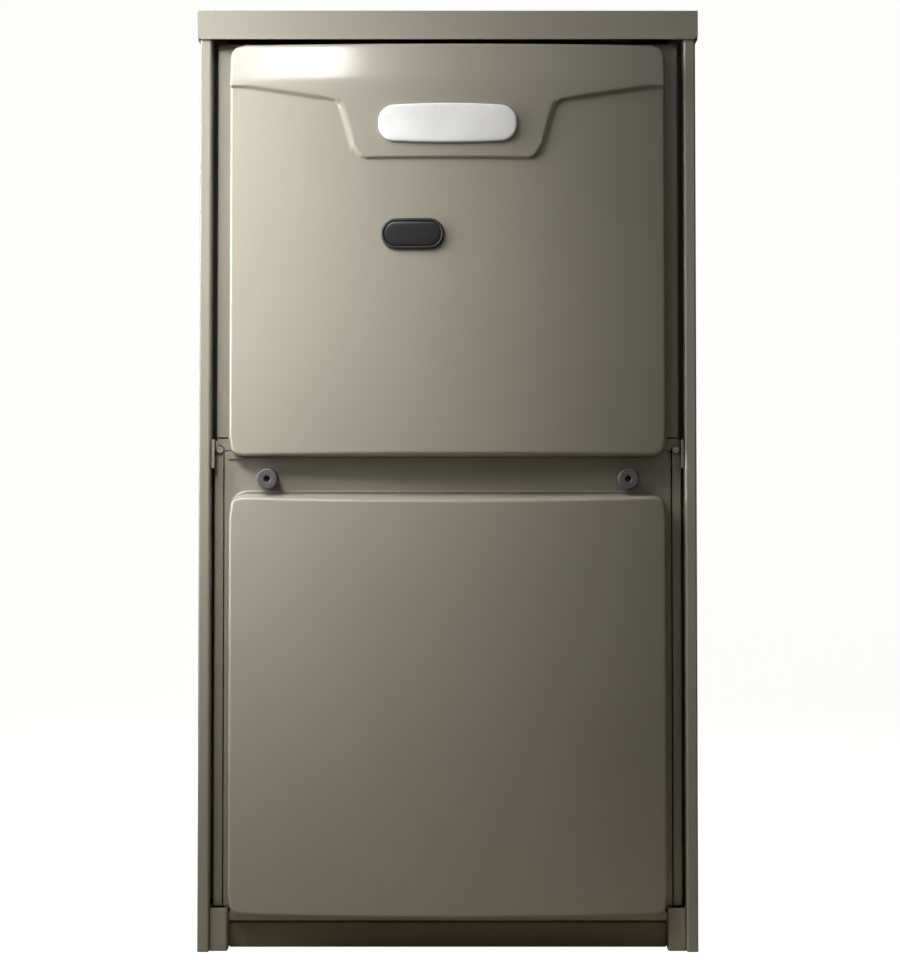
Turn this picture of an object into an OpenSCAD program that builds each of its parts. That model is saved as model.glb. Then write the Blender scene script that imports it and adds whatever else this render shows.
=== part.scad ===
// Upflow forced air gas furnace in a sheet metal cabinet with two pressed doors.
// X runs to the right, Y to the back and Z up. The origin is the centre of the footprint on the floor.

/* [Cabinet] */
// Width across the cabinet sides
cab_w = 444; // [436:1:460]
// Depth from the front flanges to the back
cab_d = 705; // [700:1:730]
// Height from the floor to the top of the cap
cab_h = 838; // [830:1:860]
// Thickness of the painted sheet
sheet = 1; // [0.8:0.1:1.2]
// Bend radius of the folded sheet
bend_r = 1.8; // [1.5:0.1:2.2]
// Width of the flange down each front edge
face_w = 10.3; // [9.5:0.1:10.6]
// Depth of the return behind each front flange
face_return = 12; // [9:0.5:14]
// Bore of the drain bushing in the cabinet's side
side_hole_r = 14; // [12:0.5:16]

/* [Top cap] */
// Height of the skirt round the cap
cap_skirt = 25.5; // [22:0.5:28]
// Thickness of the cap sheet
cap_t = 1.2; // [1:0.1:1.4]
// Air between the cap's skirt and the cabinet sides
cap_air = 0.8; // [0.5:0.1:1]
// Chamfer on the lower corners of the front skirt
cap_chamfer = 3; // [2:0.5:5]
// Width of the cap left beside the supply air opening
supply_side = 14; // [14:1:24]
// Width of the cap left behind the supply air opening
supply_rear = 11; // [11:1:24]
// Distance of the supply air opening behind the vestibule panel's face
supply_front = 4; // [3:1:20]
// Height of the duct flange round the supply opening
duct_flange_h = 19; // [12:1:22]
// Distance of the cap screws from the cabinet's outer edges
cap_screw_inset = 9.5; // [8:0.5:11]
// Radius of the cap screws' washer heads
cap_screw_r = 4.6; // [4:0.1:5]

/* [Base] */
// Height of the base rail under the lower door
base_h = 22.5; // [18:0.5:22.5]
// Distance of the base rail behind the front flanges
base_recess = 14; // [12:0.5:18]
// Height of the corner brackets
bracket_h = 38; // [30:1:40]
// Distance of the corner brackets behind the front flanges
bracket_recess = 3; // [2:0.5:5]
// Width of the base left beside the return air opening
return_side = 19; // [19:1:40]
// Width of the base pan left in front of and behind the return air opening
return_margin = 35; // [30:1:60]
// Height of the base pan's upstand
pan_h = 18; // [12:1:18]

/* [Doors] */
// Distance of the door flanges behind the front flanges
door_recess = 10; // [9:0.5:12]
// Height of the raised panels above the door flange at their side edges
panel_rise = 14; // [11:0.5:15]
// Further rise of the bow from the side edges to the middle
bow_rise = 15; // [8:0.5:18]
// Distance of the raised panels' foot from the cabinet's outer sides
panel_inset = 27; // [26.8:0.2:32]
// Draft of the pressed walls at the sides and the foot, in degrees
press_draft = 3; // [2:0.5:10]
// Draft of the pressed walls at the top, in degrees
top_draft = 11; // [4:0.5:14]
// Radius where the pressed wall rolls into the front
press_roll = 2.5; // [2:0.1:5]
// Radius of the raised panels' corners, seen from the front
press_corner = 13; // [10:0.5:16]
// Distance of the upper door's flange from the cabinet's outer sides
upper_inset = 14.5; // [14.4:0.1:17]
// Distance of the lower door's flange from the cabinet's outer sides
lower_inset = 21.3; // [21.1:0.1:22.5]
// Height of the joint between the doors
door_split = 438; // [436:0.5:440]
// Depth of the upper door's folded edge
upper_return = 14; // [10:0.5:14]
// Depth of the lower door's folded edge
lower_return = 12; // [8:0.5:14]
// Flange between the upper door's raised panel and the cap
upper_top_margin = 3.7; // [3.5:0.1:9]
// Flange between the joint and the lower door's raised panel
lower_top_margin = 33; // [32:0.5:36]
// How far the lower door's flange reaches up beside the upper door's raised panel
door_horn = 5.7; // [4:0.1:6]
// Flange under the lower door's raised panel
lower_foot_margin = 9; // [8:0.5:14]

/* [Winged brow] */
// How far the brow stands proud of the bow at its lower edge
brow_rise = 3.2; // [2:0.1:4]
// Height of the brow's middle drop above the joint
brow_drop_z = 263.5; // [255:0.5:270]
// Half the width of the flat under the badge
brow_drop_half_w = 72.4; // [68:0.2:76]
// Height of the wings above the middle drop at their inner ends
wing_z = 53; // [46:0.5:58]
// Height of the wings' outer ends above their inner ends
wing_climb = 13.5; // [8:0.5:18]
// Width of the brow's soft step
brow_soft = 5; // [4:0.5:7]

/* [Badge and window] */
// Width of the blank badge plate
badge_w = 122; // [100:1:128]
// Height of the badge plate at its middle
badge_h = 34.5; // [30:0.5:38]
// Height of the badge plate at its ends
badge_end_h = 30; // [26:0.5:32]
// Thickness of the badge plate
badge_t = 2.3; // [1.5:0.1:3]
// Height of the badge plate's centre above the brow's middle drop
badge_z = 30.1; // [28:0.1:34]
// Width of the sight window
window_w = 56; // [50:1:62]
// Height of the sight window
window_h = 27.5; // [22:0.5:30]
// How far the window bezel stands proud of the door
window_proud = 3.5; // [2.5:0.1:4]
// Distance of the sight window to the left of the middle
window_x = 31; // [10:1:60]
// Height of the sight window above the joint
window_z = 196; // [150:1:210]

/* [Knobs] */
// Radius of the round knobs
knob_r = 9.3; // [8:0.1:10]
// Length of the knobs
knob_len = 15; // [12:0.5:16]
// Radius of the recess in the middle of each knob
knob_recess_r = 3.5; // [2.5:0.1:4]
// Radius of the knobs' studs
stud_r = 4; // [3:0.1:4.5]
// Distance of the knobs from the cabinet's outer sides
knob_inset = 61.6; // [52:0.2:80]
// Distance of the knobs below the joint between the doors
knob_drop = 19.6; // [17:0.1:21]

/* [Clips and screws] */
// Height of the retainer clips
clip_h = 25.3; // [18:0.5:25.5]
// Distance of the door corner screws from the cabinet's outer sides
corner_screw_inset = 17.4; // [17:0.1:18]
// Radius of the door corner screws' heads
corner_screw_r = 3; // [2.5:0.1:3.2]

/* [Vestibule] */
// Depth of the vestibule behind the front flanges
vest_d = 195; // [190:1:198]
// Top of the blower deck
deck_z = 434; // [433:0.5:434.5]
// Height of the turned front edge of the blower deck
deck_flange_h = 29; // [26:0.5:32]
// Thickness of the insulation liners
liner_t = 6; // [4:0.5:7]

/* [Burners] */
// Number of burners and heat exchanger tubes
burner_n = 4; // [3:1:4]
// Distance between burner centres
burner_pitch = 68; // [60:1:70]
// Distance of the burner group's centre to the left of the middle
burner_shift = 4; // [3:1:8]
// Height of the burners' centre line
burner_z = 700; // [696:1:706]
// Depth of the burner box
box_d = 83; // [78:1:86]
// Height of the burner box
box_h = 150; // [140:1:150]
// Thickness of the burner box sheet
box_t = 1.2; // [1:0.1:1.5]
// Distance of the burners' bell mouths behind the box's front
burner_mouth = 12; // [10:0.5:14]
// Radius of the sight glass in the burner box
sight_r = 11; // [8:0.5:12]
// Radius of the rollout switch
rollout_r = 9; // [7:0.5:10]

/* [Gas train] */
// Radius of the gas manifold pipe
manifold_r = 10.7; // [8:0.1:13]
// Width of the gas valve's body
valve_w = 62; // [50:1:64]
// Height of the gas valve's body
valve_h = 84; // [70:1:86]
// Depth of the gas valve's body
valve_d = 58; // [50:1:60]
// Distance of the gas valve's centre from the cabinet's left side
valve_inset = 52; // [50:1:54]
// Height of the gas valve's centre and of the gas inlet
valve_z = 570; // [560:1:574]
// Radius of the gas inlet's threaded hole
inlet_r = 9.6; // [8:0.1:10]
// Length of the gas inlet's threaded hole
inlet_len = 20; // [14:1:22]

/* [Heat exchanger] */
// Outer radius of a primary tube
tube_r = 20; // [16:0.5:21]
// Wall of a primary tube
tube_wall = 1.2; // [1:0.1:1.6]
// Distance between the passes of a primary tube
pass_pitch = 64; // [58:1:66]
// Length of the middle passes as a share of the upper pass
pass_share = 0.77; // [0.7:0.01:0.85]
// Depth of the hot header
hot_d = 35.5; // [30:0.5:50]
// Number of secondary tubes across
coil_cols = 8; // [4:1:9]
// Number of secondary tube rows
coil_rows = 3; // [2:1:3]
// Outer radius of a secondary tube
coil_r = 6.5; // [5:0.1:8]
// Number of fins on the secondary tubes
fin_n = 22; // [10:1:26]
// Thickness of a fin
fin_t = 0.8; // [0.5:0.1:1.2]
// Height of the fins
fin_h = 92; // [80:1:94]
// Depth of the cold end header
header_d = 30; // [26:1:32]

/* [Inducer] */
// Distance of the inducer's centre from the cabinet's right side
inducer_inset = 110; // [108:1:110]
// Height of the inducer's centre
inducer_z = 520; // [519:1:524]
// Radius of the inducer wheel
inducer_wheel_r = 50; // [40:1:52]
// Smallest radius of the inducer's scroll
inducer_scroll_r = 56; // [54:1:58]
// Growth of the inducer's scroll over a full turn
inducer_growth = 32; // [28:1:34]
// Height of the inducer's outlet above its centre
inducer_rise = 62; // [60:1:64]
// Length of the inducer motor
inducer_motor_len = 50; // [40:1:50]
// Depth of the inducer housing
inducer_d = 64; // [62:1:66]
// Wall of the inducer housing
inducer_wall = 2.5; // [2:0.1:3]
// Radius of the inducer motor
inducer_motor_r = 42; // [34:1:44]
// Radius of the inducer's shaft
inducer_shaft_r = 4; // [3:0.1:5]

/* [Vent] */
// Outer radius of the vent pipes
vent_r = 30.15; // [30:0.05:30.3]
// Wall of the vent pipes
vent_wall = 3.9; // [3:0.1:5]
// Height of the vent collars above the cap
collar_h = 22; // [16:1:23]
// Distance of the vent pipes behind the front flanges
vent_depth = 126; // [124:1:128]
// Distance of the intake pipe to the left of the middle
intake_x = 100; // [90:1:110]

/* [Blower] */
// Radius of the blower wheel
wheel_r = 127; // [110:1:128]
// Width of the blower wheel
wheel_w = 203; // [180:1:206]
// Number of forward-curved blades
blade_n = 36; // [24:1:40]
// Radial depth of the blades
blade_depth = 22; // [16:1:24]
// Thickness of a blade
blade_t = 1.2; // [0.8:0.1:1.6]
// Smallest radius of the scroll
scroll_r = 138; // [134:1:140]
// Growth of the scroll over a full turn
scroll_growth = 66; // [50:1:68]
// Width of the blower housing
scroll_w = 236; // [228:1:240]
// Depth of the blower outlet
outlet_d = 160; // [140:1:164]
// Distance of the blower's shaft in front of the back panel
blower_back = 274; // [264:1:284]
// Height of the blower's shaft
blower_z = 215; // [212:1:220]
// Radius of the blower's shaft
shaft_r = 6.35; // [5:0.05:8]
// Radius of the blower motor
motor_r = 70; // [60:1:74]
// Length of the blower motor
motor_len = 130; // [110:1:134]

/* [Controls] */
// Distance of the pressure switch to the left of the middle
pressure_x = 60; // [56:1:60]
// Radius of the pressure switch
pressure_r = 28; // [22:1:28]
// Distance of the condensate trap's centre to the left of the middle
trap_x = 121; // [121:1:124]
// Width of the condensate trap
trap_w = 58; // [50:1:58]
// Height of the condensate trap
trap_h = 65; // [50:1:68]
// Distance of the limit switch to the right of the middle
limit_x = 165; // [164:1:190]
// Height of the limit switch
limit_z = 680; // [660:1:710]
// Radius of the limit switch
limit_r = 9; // [7:0.5:10]
// Width of the control box
control_w = 240; // [232:1:250]
// Height of the control box
control_h = 140; // [128:1:150]
// Depth of the control box
control_d = 60; // [55:1:66]
// Width of the control board
board_w = 170; // [164:1:176]
// Height of the control board
board_h = 100; // [98:1:106]
// Width of the transformer
transformer_w = 38; // [30:1:40]
// Height of the transformer
transformer_h = 52; // [48:1:60]
// Size of the junction box along the cabinet's depth
junction_d = 65; // [58:1:70]
// Height of the junction box
junction_h = 70; // [60:1:74]
// Radius of the electrical knockout
knockout_r = 11.1; // [10.5:0.1:14]
// Travel of the door switch's plunger
plunger_travel = 4; // [3:0.5:4.5]
// Radius of the door switch's plunger
plunger_r = 3.5; // [3:0.1:4]
// Distance of the door switch to the right of the middle
switch_x = 40; // [30:1:60]
// Radius of the wire harness
harness_r = 5; // [4:0.5:6]

/* [Hidden] */
$fn = 48;

// Clearance between neighbouring pieces, and radial clearance of a shaft in its hole
gap = 0.3;
run = 0.06;
// How far the badge stands in front of the cabinet's face
badge_reach = panel_rise + bow_rise - door_recess + brow_rise + badge_t;
cap_lap = cap_t + cap_air;
y_face = (badge_reach - cab_d - cap_lap) / 2;
inner_x = cab_w / 2 - sheet;
inner_back = cab_d - sheet;
panel_half_w = cab_w / 2 - panel_inset;
upper_half_w = cab_w / 2 - upper_inset;
lower_half_w = cab_w / 2 - lower_inset;
knob_x = cab_w / 2 - knob_inset;
corner_screw_x = cab_w / 2 - corner_screw_inset;
valve_x = cab_w / 2 - valve_inset;
inducer_x = cab_w / 2 - inducer_inset;
blower_depth = inner_back - blower_back;
cap_under = cab_h - cap_t;
skirt_z = cab_h - cap_skirt;
return_x = cab_w / 2 - face_w;
frame_x = lower_half_w + 0.8;
frame_depth = door_recess + lower_return + 10;
ear_z = door_split + 16.3;
lower_foot_z = base_h + 2;
upper_foot_z = door_split + 0.4;
panel_z0 = lower_foot_z + lower_foot_margin;
deck_under = deck_z - cap_t;
deck_front = door_recess + sheet + 1;
deck_front_half = lower_half_w - sheet - 3;
supply_w = cab_w - 2 * supply_side;
supply_depth = vest_d + supply_front;
supply_d = inner_back - supply_rear - supply_depth;
bow_r = (panel_half_w * panel_half_w + bow_rise * bow_rise) / (2 * bow_rise);
door_front = door_recess - panel_rise - bow_rise;
brow_z = door_split + brow_drop_z;
badge_mid_z = brow_z + badge_z;
knob_z = door_split - knob_drop;
box_x0 = -burner_shift - (burner_n - 1) / 2 * burner_pitch - 36;
box_x1 = -burner_shift + (burner_n - 1) / 2 * burner_pitch + 36;
box_front = vest_d - box_d;
manifold_depth = box_front - manifold_r - 6;
inducer_front = vest_d - header_d - gap - inducer_d;
inducer_motor_back = inducer_front - 6;
fan_front = inducer_motor_back - inducer_motor_len - 12;
vent_x = inducer_x + inducer_scroll_r + inducer_growth - inducer_wall - vent_r + 2;
coil_z = fin_h / 2 + deck_z + 18;
coil_end = vest_d + cap_t + gap;
header_depth = inner_back - 14 - hot_d;
pass_len = header_depth - 3 - tube_r - pass_pitch / 2 - coil_end;
last_pass_z = burner_z - 2 * pass_pitch;
cold_x0 = box_x0 + 3;
cold_x1 = inducer_x + 32;
cold_top = inducer_z + 52;
port_x = 20;
wheel_half = wheel_w / 2;
scroll_half = scroll_w / 2;
hole_gas = [manifold_depth, valve_z];
drain_z = deck_z + 21;
control_depth = deck_front + 60;
junction_depth = 78;
junction_z = deck_z - 64;

steel = [0.72, 0.73, 0.74];
galvanised = [0.66, 0.67, 0.68];
paint = [0.62, 0.60, 0.55];
dark_paint = [0.24, 0.23, 0.18];
black_plastic = [0.12, 0.12, 0.12];

// Places its children at x, at a depth behind the front flanges and at height z
module at(x, depth, z) translate([x, y_face + depth, z]) children();

// A block between two limits on each axis, with y given as the depth behind the front flanges
module block(x0, x1, d0, d1, z0, z1)
    translate([x0, y_face + d0, z0]) cube([x1 - x0, d1 - d0, z1 - z0]);

// Turns an outline in (x, z) into a plate of the given thickness, whose front is at a depth
module plate_y(depth, t) translate([0, y_face + depth + t, 0]) rotate([90, 0, 0]) linear_extrude(t) children();

// Turns an outline in (depth, z) into a bar between two places on X
module bar_x(x0, x1) translate([x0, y_face, 0]) rotate([90, 0, 90]) linear_extrude(x1 - x0) children();

// Turns an outline in (x, depth) into a post between two heights
module post_z(z0, z1) translate([0, y_face, z0]) linear_extrude(z1 - z0) children();

// Round bars along each axis, all starting from a point (x, depth, z)
module rod_x(p, r, len) at(p.x, p.y, p.z) rotate([0, 90, 0]) cylinder(r = r, h = len);
module rod_y(p, r, len) at(p.x, p.y, p.z) rotate([-90, 0, 0]) cylinder(r = r, h = len);
module rod_z(p, r, len) at(p.x, p.y, p.z) cylinder(r = r, h = len);

module both_sides() {
    children();
    mirror([1, 0, 0]) children();
}

// Outline of a folded sheet: a path of corner points given thickness t and rounded bends
function unit(v) = v / norm(v);
function left_of(v) = [-v.y, v.x];
function turned(v, a) = [v.x * cos(a) - v.y * sin(a), v.x * sin(a) + v.y * cos(a)];
function fold_steps(path, r) = [
    for (i = [0 : len(path) - 1])
        let (before = unit(path[max(i, 1)] - path[max(i, 1) - 1]),
             after = unit(path[min(i, len(path) - 2) + 1] - path[min(i, len(path) - 2)]),
             a = atan2(before.x * after.y - before.y * after.x, before * after))
        each abs(a) < 1 ? [[path[i], before]]
            : [for (s = [0 : 3])
                let (centre = path[i] - before * r * tan(abs(a) / 2) + left_of(before) * r * sign(a),
                     way = turned(before, a * s / 3))
                [centre - left_of(way) * r * sign(a), way]]
];
module folded(path, t = sheet, r = bend_r) {
    steps = fold_steps(path, r - t / 2);
    polygon(concat(
        [for (s = steps) s[0] + left_of(s[1]) * t / 2],
        [for (i = [len(steps) - 1 : -1 : 0]) steps[i][0] - left_of(steps[i][1]) * t / 2]
    ));
}

// A round hose or lead through a list of points (x, depth, z)
module lead(points, r) {
    for (i = [0 : len(points) - 2]) {
        run_v = points[i + 1] - points[i];
        at(points[i].x, points[i].y, points[i].z)
            rotate([0, acos(run_v.z / norm(run_v)), atan2(run_v.y, run_v.x)])
            cylinder(r = r, h = norm(run_v), $fn = 24);
    }
    for (i = [1 : len(points) - 2])
        at(points[i].x, points[i].y, points[i].z) sphere(r = r + 0.05, $fn = 24);
}

// ---- Cabinet ----

// Left and right sides, each with a front flange and its return. The back panel is welded between them
module cabinet_side() {
    side = cab_w / 2 - sheet / 2;
    fold_x = return_x + sheet / 2;
    difference() {
        post_z(0, cap_under - gap) folded([
            [fold_x, face_return], [fold_x, sheet / 2], [side, sheet / 2], [side, cab_d]
        ]);
        rod_x([inner_x - 5, hole_gas.x, hole_gas.y], side_hole_r + 6, 20);
        rod_x([inner_x - 5, junction_depth, junction_z], knockout_r, 20);
        rod_x([inner_x - 5, vent_depth, drain_z], side_hole_r + 2, 20);
    }
}

module cabinet_left_side() color(paint) mirror([1, 0, 0]) cabinet_side();
module cabinet_right_side() color(paint) cabinet_side();

module cabinet_back() color(paint)
    block(-inner_x + gap, inner_x - gap, inner_back, cab_d, 0, cap_under - gap);

module cap_screw_places()
    for (sx = [-1, 1], depth = [cap_screw_inset, supply_depth + supply_d + cap_t + cap_screw_r + gap])
        at(sx * (cab_w / 2 - cap_screw_inset), depth, 0) children();

module top_cap() {
    outer = cab_w / 2 + cap_lap;
    color(paint) difference() {
        block(-outer, outer, -cap_lap, cab_d + cap_lap, skirt_z, cab_h);
        block(-outer + cap_t, outer - cap_t, -cap_lap + cap_t, cab_d + cap_lap - cap_t, skirt_z - 1, cap_under);
        block(-supply_w / 2, supply_w / 2, supply_depth, supply_depth + supply_d, cap_under - 1, cab_h + 1);
        both_sides() at(outer, -cap_lap, skirt_z) rotate([0, 45, 0])
            cube([cap_chamfer * sqrt(2), 3 * cap_t, cap_chamfer * sqrt(2)], center = true);
        rod_z([vent_x, vent_depth, cap_under - 1], vent_r + 5, 5);
        rod_z([-intake_x, vent_depth, cap_under - 1], vent_r + 5, 5);
        cap_screw_places() translate([0, 0, cap_under - 1]) cylinder(r = 2, h = 5);
    }
}

module supply_duct_flange() {
    reach = supply_w / 2 + cap_t;
    d1 = supply_depth + supply_d;
    color(galvanised) difference() {
        block(-reach, reach, supply_depth - cap_t, d1 + cap_t, cab_h + gap, cab_h + duct_flange_h);
        block(-supply_w / 2, supply_w / 2, supply_depth, d1, cab_h - 1, cab_h + duct_flange_h + 1);
    }
}

// Hex washer screws: four in the cap's corners and one beside each end of the joint between the doors
module cabinet_screws() color(galvanised) {
    cap_screw_places() {
        translate([0, 0, cab_h]) cylinder(r = cap_screw_r, h = 0.7);
        translate([0, 0, cab_h]) cylinder(r = cap_screw_r * 0.72, h = 2.7, $fn = 6);
        translate([0, 0, cap_under]) cylinder(r = 1.9, h = cap_t);
    }
    both_sides() {
        rod_y([corner_screw_x, door_recess - 1.3, door_split + 7], corner_screw_r, 2.5);
        rod_y([corner_screw_x, door_recess, door_split + 7], 1.8, 9);
    }
}

module base_rail() color(dark_paint) bar_x(-panel_half_w, panel_half_w) folded([
    [base_recess + 22, base_h - sheet / 2], [base_recess + sheet / 2, base_h - sheet / 2],
    [base_recess + sheet / 2, sheet / 2], [base_recess + 22, sheet / 2]
]);

module base_pan() {
    side = inner_x - gap;
    pan_front = base_recess + 22 + gap;
    half = cab_w / 2 - return_side;
    color(galvanised) difference() {
        block(-side, side, pan_front, inner_back - gap, 0, pan_h);
        block(-side + sheet, side - sheet, pan_front + sheet, inner_back - gap - sheet, sheet, pan_h + 1);
        block(-half, half, pan_front + return_margin, inner_back - gap - return_margin, -1, sheet + 1);
    }
}

module corner_brackets() both_sides() color(paint) post_z(0, bracket_h) folded([
    [panel_half_w + 1.3, base_recess], [panel_half_w + 1.3, bracket_recess + sheet / 2],
    [return_x - 0.6, bracket_recess + sheet / 2], [return_x - 0.6, bracket_recess + 24]
]);

module door_frames() both_sides() color(paint) difference() {
    union() {
        post_z(bracket_h + gap, door_split + 1.5) folded([
            [frame_x, door_recess + sheet / 2], [frame_x + 7.5, door_recess + sheet / 2],
            [frame_x + 7.5, frame_depth], [inner_x - gap, frame_depth]
        ]);
        post_z(door_split + 1.5, ear_z - 1.3) folded([
            [frame_x + 0.2, door_recess + sheet * 2], [frame_x + 7.5, door_recess + sheet * 2],
            [frame_x + 7.5, frame_depth], [inner_x - gap, frame_depth]
        ]);
        post_z(ear_z - 2.3, cap_under - gap) folded([
            [lower_half_w, door_recess + upper_return + gap + sheet / 2],
            [inner_x - sheet / 2 - gap, door_recess + upper_return + gap + sheet / 2],
            [inner_x - sheet / 2 - gap, frame_depth + 12]
        ]);
    }
    rod_y([corner_screw_x, 0, door_split + 7], 1.9, 40);
}

module retainer_clips() both_sides() color(paint) post_z(ear_z - 0.5 - clip_h, ear_z - 0.5) folded([
    [upper_half_w + 0.8, sheet * 2.5], [return_x - sheet / 2 - 0.2, sheet * 2.5],
    [return_x - sheet / 2 - 0.2, face_return + 2]
]);

module vestibule_panel() {
    side = inner_x - gap - sheet / 2;
    color(galvanised) difference() {
        post_z(deck_z + gap, cap_under - gap) folded([
            [-side, vest_d - 14], [-side, vest_d + sheet / 2], [side, vest_d + sheet / 2], [side, vest_d - 14]
        ]);
        burner_places() rod_y([0, vest_d - 1, burner_z], tube_r - tube_wall, 5);
        block(cold_x0 + 8, cold_x1 - 30, vest_d - 1, vest_d + 3, coil_z - fin_h / 2 + 4, coil_z + fin_h / 2 - 4);
    }
}

module blower_deck() {
    color(galvanised) difference() {
        union() {
            bar_x(-deck_front_half, deck_front_half) folded([
                [deck_front + cap_t / 2, deck_z - deck_flange_h],
                [deck_front + cap_t / 2, deck_z - cap_t / 2], [frame_depth + 20, deck_z - cap_t / 2]
            ], cap_t);
            block(-inner_x + gap, inner_x - gap, frame_depth + 12.5, inner_back - gap, deck_under, deck_z);
        }
        both_sides() rod_y([knob_x, deck_front - 1, knob_z], stud_r + 1, 5);
        rod_y([switch_x, deck_front - 1, knob_z + 1], plunger_r + 0.5, 5);
        block(-scroll_half, scroll_half, outlet_depth() - outlet_d, outlet_depth(), deck_under - 1, deck_z + 1);
        rod_z([harness_x(), harness_depth(), deck_under - 1], harness_r + 3, 5);
    }
}

module insulation_liner() both_sides() color([0.75, 0.75, 0.7]) {
    x1 = inner_x - gap;
    block(x1 - liner_t, x1, vest_d + 3, inner_back - gap, deck_z + gap, cap_under - gap);
    block(x1 - liner_t, x1, vest_d + 3, inner_back - gap, pan_h + gap, deck_under - gap);
}

// ---- Burners and gas train ----

module burner_places()
    for (i = [0 : burner_n - 1])
        translate([-burner_shift + (i - (burner_n - 1) / 2) * burner_pitch, 0, 0]) children();

module burner_box() {
    z0 = burner_z - box_h / 2;
    back = vest_d - gap;
    color(galvanised) difference() {
        union() {
            block(box_x0, box_x1, box_front, back, z0, z0 + box_h);
            block(box_x0 - 8, box_x1 + 6, back - box_t, back, z0 - 10, z0 + box_h + 10);
        }
        block(box_x0 + box_t, box_x1 - box_t, box_front + box_t, back + 1, z0 + box_t, z0 + box_h - box_t);
        burner_places() rod_y([0, box_front - 1, burner_z], 6.5, 4);
        rod_y([-window_x, box_front - 1, z0 + 20], sight_r, 4);
        rod_z([-intake_x, vent_depth + 20, z0 + box_h - 3], vent_r - vent_wall, 6);
        rod_x([box_x1 - 4, vest_d - 24, burner_z + 14], 5.2, 8);
        rod_x([box_x0 - 4, vest_d - 24, burner_z + 4], 4.2, 8);
    }
}

// Inshot burner: a bell mouth, a narrow throat and a flared flame end with a flange on the vestibule panel
module burners() {
    len = box_d - burner_mouth - gap;
    wall = 1.4;
    color(steel) burner_places() at(0, box_front + burner_mouth, burner_z) rotate([-90, 0, 0])
        rotate_extrude() polygon([
            [15, 0], [16, 0], [12.5, 5], [10.5, 12], [10.5, 24], [15, 44], [17, 52], [17, len - wall],
            [tube_r + 3, len - wall], [tube_r + 3, len], [17 - wall, len], [17 - wall, 52], [13.8, 44],
            [10.5 - wall, 24], [10.5 - wall, 12], [11.5, 5]
        ]);
}

module burner_sight_glass() color([0.6, 0.65, 0.6, 0.6]) {
    p = [-window_x, box_front - 3 - gap, burner_z - box_h / 2 + 20];
    rod_y(p, sight_r + 3, 3);
    rod_y(p, sight_r - 0.4, 6);
}

module gas_manifold() {
    x0 = -valve_x - 6;
    x1 = box_x1 - 12;
    drop_z = valve_z + valve_h / 2 + gap;
    color(black_plastic) union() {
        rod_x([x0, manifold_depth, burner_z], manifold_r, x1 - x0);
        rod_x([x1 - 6, manifold_depth, burner_z], manifold_r + 3, 14);
        at(x0, manifold_depth, burner_z) sphere(r = manifold_r);
        rod_z([x0, manifold_depth, drop_z], manifold_r, burner_z - drop_z);
        rod_z([x0, manifold_depth, drop_z], manifold_r + 3.5, 16);
        burner_places() rod_y([0, manifold_depth, burner_z], 5.6, box_front + 6 - manifold_depth);
    }
}

module gas_valve() {
    left = -valve_x - valve_w / 2;
    front = manifold_depth - valve_d / 2;
    color([0.7, 0.7, 0.72]) difference() {
        union() {
            block(left, left + valve_w, front, front + valve_d, valve_z - valve_h / 2, valve_z + valve_h / 2);
            rod_x([left - 12, manifold_depth, valve_z], inlet_r + 6.5, 14);
            rod_y([-valve_x - 14, front - 3, valve_z - 22], 9, 4);
            rod_z([-valve_x + valve_w / 2 - 10, manifold_depth, valve_z + valve_h / 2 - 1], 8.5, 13);
        }
        rod_x([left - 13, manifold_depth, valve_z], inlet_r, inlet_len + 1);
        rod_y([-valve_x + 6, front - 1, valve_z + 14], 3.5 + run, 12);
    }
}

module gas_valve_switch() {
    front = manifold_depth - valve_d / 2;
    color([0.75, 0.12, 0.1]) {
        rod_y([-valve_x + 6, front - 8 - gap, valve_z + 14], 12, 8);
        rod_y([-valve_x + 6, front - gap - 1, valve_z + 14], 3.5, 11);
        block(-valve_x + 3.5, -valve_x + 8.5, front - 14, front - 8 - gap + 1, valve_z + 3, valve_z + 25);
    }
}

module igniter() color([0.85, 0.85, 0.8]) {
    p = [box_x1 - 20, vest_d - 24, burner_z + 14];
    rod_x(p, 5, 27);
    rod_x([box_x1 - 23.5, p.y, p.z], 1.6, 6);
    rod_x([box_x1 + gap, p.y, p.z], 7.5, 3);
}

module flame_sensor() color([0.85, 0.85, 0.8]) {
    p = [box_x0 - 12, vest_d - 24, burner_z + 4];
    rod_x(p, 4, 24);
    rod_x([box_x0 + 10, p.y, p.z], 1.4, 7);
    rod_x([box_x0 - 3 - gap, p.y, p.z], 6.5, 3);
}

module rollout_switch() color(galvanised) difference() {
    top = burner_z + box_h / 2 + gap;
    union() {
        rod_z([box_x1 - 40, vest_d - 40, top], rollout_r, 7);
        block(box_x1 - 55, box_x1 - 25, vest_d - 45, vest_d - 35, top, top + 1.2);
    }
    rod_z([box_x1 - 40, vest_d - 40, top + 2], 3 + run, 8);
}

module rollout_reset_button() color([0.75, 0.12, 0.1])
    rod_z([box_x1 - 40, vest_d - 40, burner_z + box_h / 2 + gap + 4], 3, 6);

// ---- Heat exchanger ----

module tube_ring(r = tube_r) difference() {
    circle(r = r);
    circle(r = r - tube_wall);
}

module heat_exchanger_tubes() {
    rear = coil_end + pass_len;
    front = rear - pass_len * pass_share;
    color([0.55, 0.56, 0.58]) burner_places() {
        at(0, coil_end, burner_z) rotate([-90, 0, 0]) linear_extrude(pass_len) tube_ring();
        at(0, front, burner_z - pass_pitch) rotate([-90, 0, 0]) linear_extrude(rear - front) tube_ring();
        at(0, front, last_pass_z) rotate([-90, 0, 0])
            linear_extrude(header_depth - gap - front) tube_ring();
        at(0, rear, burner_z - pass_pitch / 2) rotate([0, -90, 0]) rotate_extrude(angle = 180)
            translate([pass_pitch / 2, 0]) tube_ring();
        at(0, front, burner_z - 1.5 * pass_pitch) rotate([0, 90, 0]) rotate([0, 0, 180])
            rotate_extrude(angle = 180) translate([pass_pitch / 2, 0]) tube_ring();
    }
}

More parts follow.
